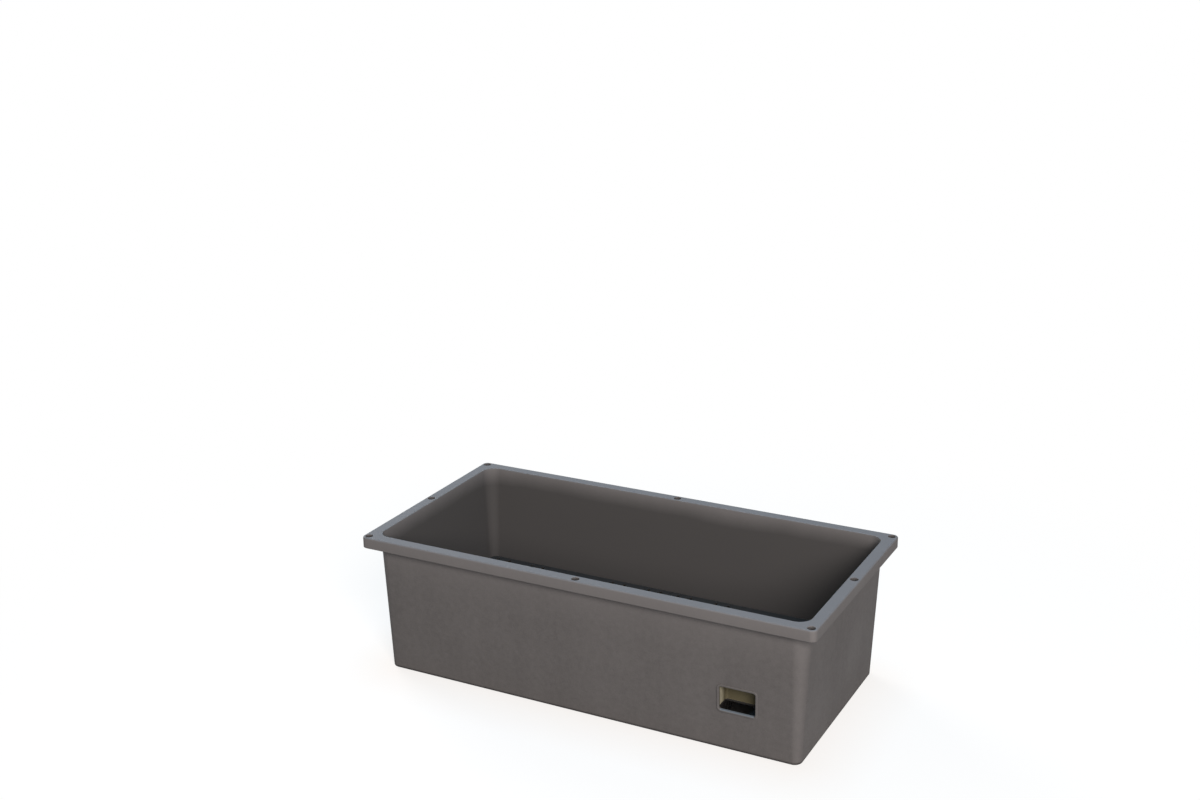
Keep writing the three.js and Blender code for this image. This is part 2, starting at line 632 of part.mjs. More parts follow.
// One half of the insert with its legs and baskets, laid out from the seam along +X
function insertHalf(side, frontSign, hasHood) {
  const half = new THREE.Group();
  addPiece(half, `screen_${side}`, screenHalf(hasHood), blackPlastic);
  LEG_PLACES.forEach(([x, y], k) => addPiece(half, `leg_${side}_${k + 1}`, LEG, blackPlastic, x, y));
  addPiece(half, `basket_${side}_front`, BASKET, blackPlastic, SCREEN_MIDDLE, -frontSign * BASKET_Y);
  addPiece(half, `basket_${side}_back`, BASKET, blackPlastic, SCREEN_MIDDLE, frontSign * BASKET_Y);
  return half;
}

const planter = new THREE.Group();
addPiece(planter, "planter_box", planterBox(), charcoalPlastic);

const right = insertHalf("right", 1, true);
addPiece(right, "port_hood", portHood(), khakiPlastic);
planter.add(right);

const left = insertHalf("left", -1, false);
left.rotation.z = Math.PI;
planter.add(left);

export default planter;
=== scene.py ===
import math
from collections import namedtuple

import bmesh
import bpy
from mathutils import Matrix, Vector


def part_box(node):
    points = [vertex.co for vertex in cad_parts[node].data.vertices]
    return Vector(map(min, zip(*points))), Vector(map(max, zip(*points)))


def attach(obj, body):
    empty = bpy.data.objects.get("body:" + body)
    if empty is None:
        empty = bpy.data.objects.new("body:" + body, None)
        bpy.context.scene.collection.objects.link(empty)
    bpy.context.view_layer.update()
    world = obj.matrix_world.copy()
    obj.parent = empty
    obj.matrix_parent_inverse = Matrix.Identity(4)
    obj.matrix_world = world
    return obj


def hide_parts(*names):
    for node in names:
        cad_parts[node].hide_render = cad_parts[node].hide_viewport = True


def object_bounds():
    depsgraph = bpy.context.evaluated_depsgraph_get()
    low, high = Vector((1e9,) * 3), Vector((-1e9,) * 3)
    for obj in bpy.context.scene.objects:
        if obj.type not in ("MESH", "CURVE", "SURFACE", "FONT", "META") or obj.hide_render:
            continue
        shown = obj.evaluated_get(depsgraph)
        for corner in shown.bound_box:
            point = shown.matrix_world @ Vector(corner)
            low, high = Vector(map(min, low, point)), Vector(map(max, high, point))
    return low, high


# A self-watering planter box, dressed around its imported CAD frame. Lengths are in metres.
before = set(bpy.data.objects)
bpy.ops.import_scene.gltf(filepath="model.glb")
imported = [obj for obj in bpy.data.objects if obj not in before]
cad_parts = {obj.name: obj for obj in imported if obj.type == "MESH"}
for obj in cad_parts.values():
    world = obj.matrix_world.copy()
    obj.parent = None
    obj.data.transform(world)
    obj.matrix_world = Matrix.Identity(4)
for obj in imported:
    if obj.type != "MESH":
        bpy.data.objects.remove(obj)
cad_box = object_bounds()

MM = 0.001
QUARTER = math.pi / 2

# Boxes of the CAD pieces that the dressed pieces take their sizes and places from
box_high = cad_box[1]
screen_low, screen_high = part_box("screen_right")
basket_low, basket_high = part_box("basket_right_front")
hood_low, hood_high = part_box("port_hood")
leg_low, leg_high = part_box("leg_right_3")

# Tub
HALF_LENGTH = box_high.x
HALF_WIDTH = box_high.y
HEIGHT = box_high.z
WALL = 3 * MM
DRAFT = math.radians(2.6)
WALL_CORNER_RADIUS = 25 * MM
BASE_EDGE_RADIUS = 3 * MM
FLOOR_EDGE_RADIUS = 6 * MM
FOOT_HEIGHT = 3 * MM
FOOT_WIDTH = 14 * MM
FLOOR_LEVEL = 6 * MM
BASE_RIB_WIDTH = 5 * MM
BASE_RIB_RISE = 0.5 * MM
BASE_RIB_PITCH = 160 * MM

# Turned-down rim
RIM_OVERHANG = 17 * MM
RIM_SKIRT = 19 * MM
RIM_THICKNESS = 3 * MM
RIM_CORNER_RADIUS = 10 * MM
RIM_EDGE_RADIUS = 2.5 * MM
RIM_LIP_RADIUS = 1 * MM
RIM_ROOT_RADIUS = 1.5 * MM
RIM_HOLE_DIAMETER = 13 * MM
RIM_HOLE_INSET = 10 * MM
RIM_HOLE_MOUTH = 0.7 * MM
RIM_BOSS_WALL = 1.8 * MM
RIM_BOSS_DEPTH = 14 * MM
GUSSET_THICKNESS = 2 * MM
GUSSET_PITCH = 95 * MM

# Port in the front wall
PORT_WIDTH = 60 * MM
PORT_HEIGHT = 40.5 * MM
PORT_CORNER_RADIUS = 4 * MM
PORT_FRAME_WIDTH = 4 * MM
PORT_FRAME_PROUD = 2 * MM
PORT_FRAME_EDGE_RADIUS = 1.4 * MM
PORT_SLEEVE_WALL = 2 * MM
PORT_SLEEVE_SET_BACK = 0.25 * MM

# Slotted platform in two halves
SCREEN_START = screen_low.x
SCREEN_END = screen_high.x
SCREEN_HALF_WIDTH = screen_high.y
SCREEN_BOTTOM = screen_low.z
SCREEN_TOP = screen_high.z
SCREEN_MIDDLE = (SCREEN_START + SCREEN_END) / 2
SCREEN_THICKNESS = 3 * MM
SCREEN_UNDERSIDE = SCREEN_TOP - SCREEN_THICKNESS
SCREEN_CORNER_RADIUS = 12.1 * MM
SCREEN_EDGE_RADIUS = 1 * MM
SCREEN_WALL = 2.5 * MM
SCREEN_RIB_RISE = 2 * MM
SCREEN_ABOVE_SILL = 4 * MM
SEAT_RIB_DEPTH = 8 * MM
SEAT_RIB_THICKNESS = 3 * MM
SLOT_WIDTH = 5 * MM
SLOT_ROWS = 5
SLOT_BAR = 19 * MM
SLOT_BRIDGE = 11 * MM
SLOT_MARGIN = 4 * MM
SLOT_MOUTH = 0.6 * MM

# Legs under the platform
LEGS_PER_HALF = 5
LEG_BOTTOM = leg_low.z
LEG_TOP = leg_high.z
LEG_FOOT_DIAMETER = leg_high.x - leg_low.x
LEG_SPIGOT_DIAMETER = 17 * MM
LEG_WALL = 2.2 * MM
LEG_SHOULDER = 3 * MM
LEG_TAPER = 2 * MM
LEG_FOOT_THICKNESS = 3 * MM
LEG_DRAIN_WIDTH = 6 * MM
LEG_CHAMFER = 1 * MM
LEG_EDGE_RADIUS = 0.8 * MM

# Wicking baskets
BASKET_BOTTOM = basket_low.z
BASKET_TOP = basket_high.z
BASKET_MOUTH = 80 * MM
BASKET_BASE = 58 * MM
BASKET_WALL = 2 * MM
BASKET_CORNER_RADIUS = 11 * MM
BASKET_EDGE_RADIUS = 3 * MM
BASKET_FLANGE_WIDTH = 6 * MM
BASKET_FLANGE_THICKNESS = 2.5 * MM
BASKET_LIP_RADIUS = 0.8 * MM
BASKET_SLOT_WIDTH = 4 * MM
BASKET_SLOT_BAR = 9 * MM
BASKET_SLOT_MARGIN = 9 * MM

# Hood over the port
HOOD_WALL = 2 * MM
HOOD_DEPTH = 26 * MM
HOOD_SIDE_ROOM = 1 * MM
HOOD_CORNER_RADIUS = 5 * MM
HOOD_EDGE_RADIUS = 1.6 * MM
HOOD_FLANGE_WIDTH = 6 * MM
HOOD_FLANGE_THICKNESS = 2 * MM
HOOD_LIP_RADIUS = 0.7 * MM
HOOD_PEG_DIAMETER = 3.5 * MM
HOOD_TOP = hood_high.z
HOOD_PEG_BOTTOM = hood_low.z

# Painted light and shade: the plastic painted paler from one height up to the rim, painted light where more
# light falls; edges painted paler, a painted highlight that is partly rubbed wear; painted shade in the
# corners and along the foot. The edge highlight goes by how far an edge bends, and the corner shade by how
# open a corner is.
RIM_LIGHT_START = 135 * MM
WORN_HIGHLIGHT_RADIUS = 1.6 * MM
WORN_HIGHLIGHT_START = 0.995
WORN_HIGHLIGHT_FULL = 0.88
WORN_HIGHLIGHT_LEAST = 0.3
CORNER_SHADE_REACH = 16 * MM
CORNER_SHADE_START = 0.62
CORNER_SHADE_FULL = 0.3
CORNER_SHADE_SHARE = 0.9
FOOT_SHADE_TOP = 6 * MM
FOOT_SHADE_FULL = 2 * MM
FOOT_SHADE_SHARE = 0.8

# Painted shade inside the tub, below an uneven line near the rim; a painted highlight, a pale reflection of
# the sky, on the sill of the port; and painted shade on the back of the hood
INSIDE_SHADE_LINE = 252 * MM
INSIDE_SHADE_FADE = 28 * MM
INSIDE_SHADE_WAVE = 18 * MM
SILL_HIGHLIGHT_START = 1.2 * MM
SILL_HIGHLIGHT_FULL = 0.3 * MM
SILL_HIGHLIGHT_MARGIN = 2 * MM
HOOD_SHADE_REACH = 17 * MM
HOOD_SHADE_FULL = 5 * MM
INSIDE_SHADE_COLOUR = (0.066, 0.06, 0.058)
SILL_HIGHLIGHT_COLOUR = (0.155, 0.178, 0.21)
HOOD_SHADE_COLOUR = (0.092, 0.077, 0.045)

# Moulded surface: waves of each noise to a metre, the share of each in the mottled shade of the colour and
# in the sheen, the part of its range that tells, and the tones of the painted light, the worn edge highlight
# and the painted shade against the plain plastic
CLOUD_SCALE = 7
FLOW_SCALE = 26
FLOW_STRETCH = (1, 1, 0.12)
BLOTCH_SCALE = 110
FLECK_SCALE = 520
SWELL_SCALE = 6
GRAIN_SCALE = 1400
CLOUD_IN_SHADE = 0.2
FLOW_IN_SHADE = 0.25
FLECK_IN_SHADE = 0.25
BLOTCH_IN_SHADE = 0.3
CLOUD_IN_SHEEN = 0.6
FLECK_IN_SHEEN = 0.4
SHADE_LOW = 0.38
SHADE_HIGH = 0.62
SHEEN_LOW = 0.35
SHEEN_HIGH = 0.65
SHEEN_SPREAD = 0.06
POLISH = 0.06
PAINTED_LIGHT_TONE = 1.5
WORN_HIGHLIGHT_TONE = 1.75
SHADED_TONE = 0.1
SOFT_EDGE_RADIUS = 0.5 * MM
EDGE_SAMPLES = 4
CORNER_SHADE_SAMPLES = 8

# Fits, cuts and fineness
SEAT_GAP = 0.3 * MM
SLIDE_GAP = 0.4 * MM
OVERCUT = 1 * MM
WELD = 0.005 * MM
CORNERS = 4
BOX_CORNER_STEPS = 20
SMALL_CORNER_STEPS = 8
BLOCK_CORNER_STEPS = 2
BLOCK_CORNER_RADIUS = 0.3 * MM
EDGE_STEPS = 6
SMOOTH_BELOW = math.radians(32)

# Places that follow from the sizes above
PORT_X = (hood_low.x + hood_high.x) / 2
PORT_SILL = SCREEN_TOP - SCREEN_ABOVE_SILL
PORT_Z = PORT_SILL + PORT_HEIGHT / 2
HOOD_BACK = hood_high.y - HOOD_WALL - HOOD_FLANGE_WIDTH
HOOD_HALF_WIDTH = PORT_WIDTH / 2 + HOOD_SIDE_ROOM
HOOD_BOTTOM = SCREEN_TOP + SEAT_GAP
HOOD_PEG_X = HOOD_HALF_WIDTH + HOOD_WALL + HOOD_FLANGE_WIDTH / 2
HOOD_PEG_Y = HOOD_BACK - HOOD_DEPTH / 2
SLOT_EDGE = SCREEN_WALL + SLOT_MARGIN
SLOT_ROW_PITCH = (2 * (SCREEN_HALF_WIDTH - SLOT_EDGE) + SLOT_BRIDGE) / SLOT_ROWS
SLOT_LENGTH = SLOT_ROW_PITCH - SLOT_BRIDGE
BASKET_OPENING = BASKET_MOUTH + 2 * SLIDE_GAP
SOCKET_BORE_RADIUS = LEG_SPIGOT_DIAMETER / 2 + SLIDE_GAP
SOCKET_RADIUS = SOCKET_BORE_RADIUS + SCREEN_WALL


def middle(node_name):
    """Middle of a CAD piece in plan."""
    low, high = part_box(node_name)
    return (low.x + high.x) / 2, (low.y + high.y) / 2


def leg_names(side):
    """CAD pieces of the legs under one half of the platform."""
    return [f"leg_{side}_{k + 1}" for k in range(LEGS_PER_HALF)]


LEG_PLACES = [middle(name) for name in leg_names("right")]
BASKET_Y = middle("basket_right_back")[1]
LEG_SPREAD = max(x for x, _ in LEG_PLACES) - SCREEN_MIDDLE

# Node trees


def node(tree, kind, feeds=None, **settings):
    """New node of a tree, with its settings, its inputs linked to other sockets or set to values."""
    made = tree.nodes.new(kind)
    for name, value in settings.items():
        setattr(made, name, value)
    for key, value in (feeds or {}).items():
        if isinstance(value, bpy.types.NodeSocket):
            tree.links.new(value, made.inputs[key])
        else:
            made.inputs[key].default_value = value
    return made


def calc(tree, operation, *values):
    """Result of a math node."""
    return node(tree, "ShaderNodeMath", dict(enumerate(values)), operation=operation).outputs[0]


def part_tree(name, sizes):
    """Empty geometry tree with a shape and named sizes going in and a shape coming out."""
    tree = bpy.data.node_groups.new(name, "GeometryNodeTree")
    tree.interface.new_socket("Shape", in_out="INPUT", socket_type="NodeSocketGeometry")
    for size, kind in sizes.items():
        tree.interface.new_socket(size, in_out="INPUT", socket_type=kind)
    tree.interface.new_socket("Shape", in_out="OUTPUT", socket_type="NodeSocketGeometry")
    return tree, tree.nodes.new("NodeGroupInput").outputs


def close_tree(tree, shape, finish):
    """Ends a geometry tree with its copies made real and its finish put on."""
    real = node(tree, "GeometryNodeRealizeInstances", {"Geometry": shape})
    coated = node(tree, "GeometryNodeSetMaterial", {"Geometry": real.outputs[0], "Material": finish})
    node(tree, "NodeGroupOutput", {0: coated.outputs[0]})
    return tree


def loft_tree():
    """Surface through rounded-rectangle sections. Each point that goes in is one section: its half length,
    half width and height are the point's place, and the radius of its corners is an attribute."""
    tree, given = part_tree("rounded_section_loft", {
        "Corner steps": "NodeSocketInt",
        "Finish": "NodeSocketMaterial",
    })
    steps = given["Corner steps"]
    counted = node(tree, "GeometryNodeAttributeDomainSize", {"Geometry": given["Shape"]})
    sections = counted.outputs["Point Count"]
    per_corner = calc(tree, "ADD", steps, 1)
    around = calc(tree, "MULTIPLY", per_corner, CORNERS)
    grid = node(tree, "GeometryNodeMeshGrid", {
        "Size X": 1,
        "Size Y": 1,
        "Vertices X": calc(tree, "ADD", around, 1),
        "Vertices Y": sections,
    }).outputs["Mesh"]
    spot = node(tree, "GeometryNodeInputPosition").outputs[0]
    on_grid = node(tree, "ShaderNodeSeparateXYZ", {0: spot}).outputs
    along = calc(tree, "ADD", on_grid["X"], 0.5)
    lap = calc(tree, "MODULO", calc(tree, "ROUND", calc(tree, "MULTIPLY", along, around)), around)
    last = calc(tree, "SUBTRACT", sections, 1)
    row = calc(tree, "ROUND", calc(tree, "MULTIPLY", calc(tree, "ADD", on_grid["Y"], 0.5), last))
    corner = calc(tree, "FLOOR", calc(tree, "DIVIDE", calc(tree, "ADD", lap, 0.5), per_corner))
    step = calc(tree, "SUBTRACT", lap, calc(tree, "MULTIPLY", corner, per_corner))
    turned = calc(tree, "ADD", corner, calc(tree, "DIVIDE", step, steps))
    angle = calc(tree, "MULTIPLY", turned, QUARTER)
    facing = calc(tree, "MULTIPLY", calc(tree, "ADD", corner, 0.5), QUARTER)

    def sampled(value, data_type):
        feeds = {"Geometry": given["Shape"], "Value": value, "Index": row}
        return node(tree, "GeometryNodeSampleIndex", feeds, data_type=data_type).outputs[0]

    half = node(tree, "ShaderNodeSeparateXYZ", {0: sampled(spot, "FLOAT_VECTOR")}).outputs
    corner_radius = node(tree, "GeometryNodeInputNamedAttribute", {"Name": "corner"}, data_type="FLOAT")
    radius = sampled(corner_radius.outputs["Attribute"], "FLOAT")

    def reach(half_size, turn):
        side = calc(tree, "SIGN", calc(tree, turn, facing))
        flat = calc(tree, "MULTIPLY", side, calc(tree, "SUBTRACT", half_size, radius))
        return calc(tree, "ADD", flat, calc(tree, "MULTIPLY", radius, calc(tree, turn, angle)))

    place = node(tree, "ShaderNodeCombineXYZ", {
        "X": reach(half["X"], "COSINE"),
        "Y": reach(half["Y"], "SINE"),
        "Z": half["Z"],
    }).outputs[0]
    skin = node(tree, "GeometryNodeSetPosition", {"Geometry": grid, "Position": place}).outputs[0]
    sealed = node(tree, "GeometryNodeMergeByDistance", {"Geometry": skin, "Distance": WELD}).outputs[0]
    return close_tree(tree, sealed, given["Finish"])


def set_out(tree, places, piece):
    """Copies of a piece on points, each turned about the upright by the point's turn."""
    turn = node(tree, "GeometryNodeInputNamedAttribute", {"Name": "turn"}, data_type="FLOAT")
    rotation = node(tree, "ShaderNodeCombineXYZ", {"Z": turn.outputs["Attribute"]}).outputs[0]
    shape = node(tree, "GeometryNodeObjectInfo", {"Object": piece}).outputs["Geometry"]
    copies = node(tree, "GeometryNodeInstanceOnPoints", {
        "Points": places,
        "Instance": shape,
        "Rotation": rotation,
    })
    return copies.outputs[0]


def copies_tree():
    """Copies of a piece on the points that go in."""
    tree, given = part_tree("copies_on_places", {
        "Piece": "NodeSocketObject",
        "Finish": "NodeSocketMaterial",
    })
    return close_tree(tree, set_out(tree, given["Shape"], given["Piece"]), given["Finish"])


def worked_tree():
    """Copies of a piece on places, cut out of the shape that goes in or joined to it."""
    tree, given = part_tree("worked_by_copies", {
        "Piece": "NodeSocketObject",
        "Places": "NodeSocketObject",
        "Joined": "NodeSocketBool",
        "Finish": "NodeSocketMaterial",
    })
    places = node(tree, "GeometryNodeObjectInfo", {"Object": given["Places"]}).outputs["Geometry"]
    copies = set_out(tree, places, given["Piece"])
    tool = node(tree, "GeometryNodeRealizeInstances", {"Geometry": copies}).outputs[0]
    cut = node(tree, "GeometryNodeMeshBoolean", {"Mesh 1": given["Shape"], "Mesh 2": tool},
               operation="DIFFERENCE", solver="MANIFOLD")
    joined = node(tree, "GeometryNodeMeshBoolean", {"Mesh 2": given["Shape"]},
                  operation="UNION", solver="MANIFOLD")
    tree.links.new(tool, joined.inputs["Mesh 2"])
    either = node(tree, "GeometryNodeSwitch", {
        "Switch": given["Joined"],
        "False": cut.outputs["Mesh"],
        "True": joined.outputs["Mesh"],
    }).outputs[0]
    return close_tree(tree, either, given["Finish"])


LOFT = loft_tree()
COPIES = copies_tree()
WORKED = worked_tree()


def mesh_object(name, points, faces=(), values=None):
    """Object of a mesh with a number on each point, kept under each name in values."""
    mesh = bpy.data.meshes.new(name)
    mesh.from_pydata(points, [], faces)
    for key, numbers in (values or {}).items():
        mesh.attributes.new(key, "FLOAT", "POINT").data.foreach_set("value", numbers)
    made = bpy.data.objects.new(name, mesh)
    bpy.context.scene.collection.objects.link(made)
    return made


def discard(*objects):
    """Takes objects out of the scene together with their meshes."""
    for used in objects:
        mesh = used.data
        bpy.data.objects.remove(used)
        bpy.data.meshes.remove(mesh)


def evaluated_mesh(piece):
    """Mesh of a piece with its modifiers worked in."""
    depsgraph = bpy.context.evaluated_depsgraph_get()
    return bpy.data.meshes.new_from_object(piece.evaluated_get(depsgraph), depsgraph=depsgraph)


def grow(piece, tree, sizes):
    """Puts a piece through a geometry tree and keeps the result as its plain mesh."""
    growth = piece.modifiers.new(tree.name, "NODES")
    growth.node_group = tree
    for socket in tree.interface.items_tree:
        if socket.in_out == "INPUT" and socket.name in sizes:
            growth[socket.identifier] = sizes[socket.name]
    made = evaluated_mesh(piece)
    made.materials.clear()
    made.materials.append(sizes["Finish"])
    piece.modifiers.remove(growth)
    blank = piece.data
    piece.data = made
    bpy.data.meshes.remove(blank)
    return piece


# Sections and lofts

Section = namedtuple("Section", "x y z corner")


def wall_section(z, inset=0):
    """Outline of the drafted wall at one height, moved inwards; its corners narrow downwards."""
    lean = (HEIGHT - z) * math.tan(DRAFT)
    x = HALF_LENGTH - RIM_OVERHANG - lean - inset
    y = HALF_WIDTH - RIM_OVERHANG - lean - inset
    return Section(x, y, z, max(WALL_CORNER_RADIUS - lean - inset, WALL))


def rim_section(z, inset=0):
    """Outline of the rim's upright skirt at one height, moved inwards."""
    corner = max(RIM_CORNER_RADIUS - inset, RIM_LIP_RADIUS)
    return Section(HALF_LENGTH - inset, HALF_WIDTH - inset, z, corner)


def rectangle(half_length, half_width, corner):
    """Section function of an upright rounded rectangle."""
    return lambda z, inset=0: Section(half_length - inset, half_width - inset, z, max(corner - inset, WELD))


def round_bar(radius):
    """Section function of an upright round bar."""
    return rectangle(radius, radius, radius)


def block(half_length, half_width):
    """Section function of a block with its upright edges just broken."""
    return rectangle(half_length, half_width, BLOCK_CORNER_RADIUS)


def edge_arc(section, inset, z, radius, start, end):
    """Sections along a round edge: the arc turns about (inset, z) from one angle to another."""
    angles = [start + (end - start) * step / EDGE_STEPS for step in range(EDGE_STEPS + 1)]
    return [section(z + radius * math.sin(a), inset - radius * math.cos(a)) for a in angles]


def capped(sections):
    """Sections with a point at the middle of each end, which closes the loft there."""
    return [Section(0, 0, sections[0].z, 0), *sections, Section(0, 0, sections[-1].z, 0)]


def straight(section, bottom, top):
    """Sections of a bar from one height to another, with closed ends."""
    return capped([section(bottom), section(top)])


def flared(section, bottom, top, mouth):
    """Cutter whose top widens by a quarter round, so that the hole gets a rounded mouth."""
    arc = edge_arc(section, -mouth, top - mouth, -mouth, 0, -QUARTER)
    return capped([section(bottom), *arc, section(top + OVERCUT, -mouth)])


def lofted(name, sections, finish, steps=SMALL_CORNER_STEPS, place=None):
    """Piece lofted through sections about the upright at the origin, then moved by a matrix."""
    points = [(s.x, s.y, s.z) for s in sections]
    piece = mesh_object(name, points, values={"corner": [s.corner for s in sections]})
    grow(piece, LOFT, {"Corner steps": steps, "Finish": finish})
    seal(piece)
    if place is not None:
        piece.data.transform(place)
    return piece


def seal(piece):
    """Merges a piece's doubles and turns its faces outwards."""
    skin = bmesh.new()
    skin.from_mesh(piece.data)
    bmesh.ops.remove_doubles(skin, verts=skin.verts, dist=WELD)
    bmesh.ops.recalc_face_normals(skin, faces=skin.faces)
    skin.to_mesh(piece.data)
    skin.free()


def work(body, tool, places, joined):
    """Cuts copies of a tool out of a body, or joins them to it, on (x, y) or (x, y, turn) places."""
    points = [(p[0], p[1], 0) for p in places]
    turns = [p[2] if len(p) > 2 else 0 for p in places]
    spots = mesh_object("places", points, values={"turn": turns})
    finish = body.data.materials[0]
    grow(body, WORKED, {"Piece": tool, "Places": spots, "Joined": joined, "Finish": finish})
    discard(tool, spots)


def cut(body, tool, places=((0, 0),)):
    """Takes a tool out of a body at each place."""
    work(body, tool, places, False)


def join(body, tool, places=((0, 0),)):
    """Adds a tool to a body at each place."""
    work(body, tool, places, True)


def spread(span, size, pitch):
    """Places for as many pieces of one size as fit along a span, a pitch apart and centred on zero."""
    count = 1 + max(0, int((span - size) / pitch))
    return [(k - (count - 1) / 2) * pitch for k in range(count)]


def on_front_wall(x, z):
    """Frame on the front wall: X along the box, Y up the wall and Z out of it."""
    along = Vector((1, 0, 0))
    up = Vector((0, -math.sin(DRAFT), math.cos(DRAFT)))
    turned = Matrix((along, up, along.cross(up))).transposed().to_4x4()
    return Matrix.Translation((x, -wall_section(z).y, z)) @ turned


# Finishes

Surface = namedtuple("Surface", "tree spot cloud")
Relief = namedtuple("Relief", "strength height")
SWELL = Relief(0.5, 0.8 * MM)
ORANGE_PEEL = Relief(0.25, 0.1 * MM)
GRAIN = Relief(0.3, 0.06 * MM)


def ranged(tree, value, low, high, to_low, to_high, **settings):
    """Value carried over from one range to another and held at its ends."""
    feeds = {"Value": value, "From Min": low, "From Max": high, "To Min": to_low, "To Max": to_high}
    return node(tree, "ShaderNodeMapRange", feeds, **settings).outputs["Result"]


def product(tree, first, *others):
    """Product of several values."""
    result = first
    for other in others:
        result = calc(tree, "MULTIPLY", result, other)
    return result


def weighted(tree, *weights):
    """Sum of values, from pairs of a value and its weight."""
    first, *others = [calc(tree, "MULTIPLY", value, weight) for value, weight in weights]
    total = first
    for other in others:
        total = calc(tree, "ADD", total, other)
    return total


def shade_inside(surface):
    """How far painted shade darkens the inside of the tub, below an uneven line near the rim."""
    tree, spot, cloud = surface

    def squared_past_corner(axis, half_size):
        corner = half_size - RIM_OVERHANG - WALL_CORNER_RADIUS
        past = calc(tree, "SUBTRACT", calc(tree, "ABSOLUTE", spot[axis]), corner)
        outside = calc(tree, "MAXIMUM", past, 0)
        return product(tree, outside, outside)

    lean = product(tree, calc(tree, "SUBTRACT", HEIGHT, spot["Z"]), math.tan(DRAFT))
    squares = calc(tree, "ADD", squared_past_corner("X", HALF_LENGTH), squared_past_corner("Y", HALF_WIDTH))
    reach = calc(tree, "ADD", calc(tree, "SQRT", squares), lean)
    inside = calc(tree, "LESS_THAN", reach, WALL_CORNER_RADIUS - WALL / 2)
    over_base = calc(tree, "GREATER_THAN", spot["Z"], FLOOR_LEVEL - WALL / 2)
    level = calc(tree, "ADD", spot["Z"], product(tree, cloud, INSIDE_SHADE_WAVE))
    below_shade_line = ranged(tree, level, INSIDE_SHADE_LINE, INSIDE_SHADE_LINE - INSIDE_SHADE_FADE, 0, 1)
    return product(tree, inside, over_base, below_shade_line)


def highlight_on_sill(surface):
    """How far a painted highlight, a pale reflection of the sky, covers the sill of the port and the round
    edge in front of it.
    """
    tree, spot = surface.tree, surface.spot
    aside = calc(tree, "ABSOLUTE", calc(tree, "SUBTRACT", spot["X"], PORT_X))
    in_port = calc(tree, "LESS_THAN", aside, PORT_WIDTH / 2 - SILL_HIGHLIGHT_MARGIN)
    in_front = calc(tree, "LESS_THAN", spot["Y"], 0)
    below_top = calc(tree, "LESS_THAN", spot["Z"], PORT_Z)
    risen = ranged(tree, spot["Z"], PORT_SILL - SILL_HIGHLIGHT_START, PORT_SILL - SILL_HIGHLIGHT_FULL, 0, 1)
    return product(tree, in_port, in_front, below_top, risen)


def shade_in_hood(surface):
    """How far painted shade darkens the hood, from its back towards its mouth."""
    return ranged(surface.tree, surface.spot["Y"], HOOD_BACK - HOOD_SHADE_REACH, HOOD_BACK - HOOD_SHADE_FULL, 0, 1)


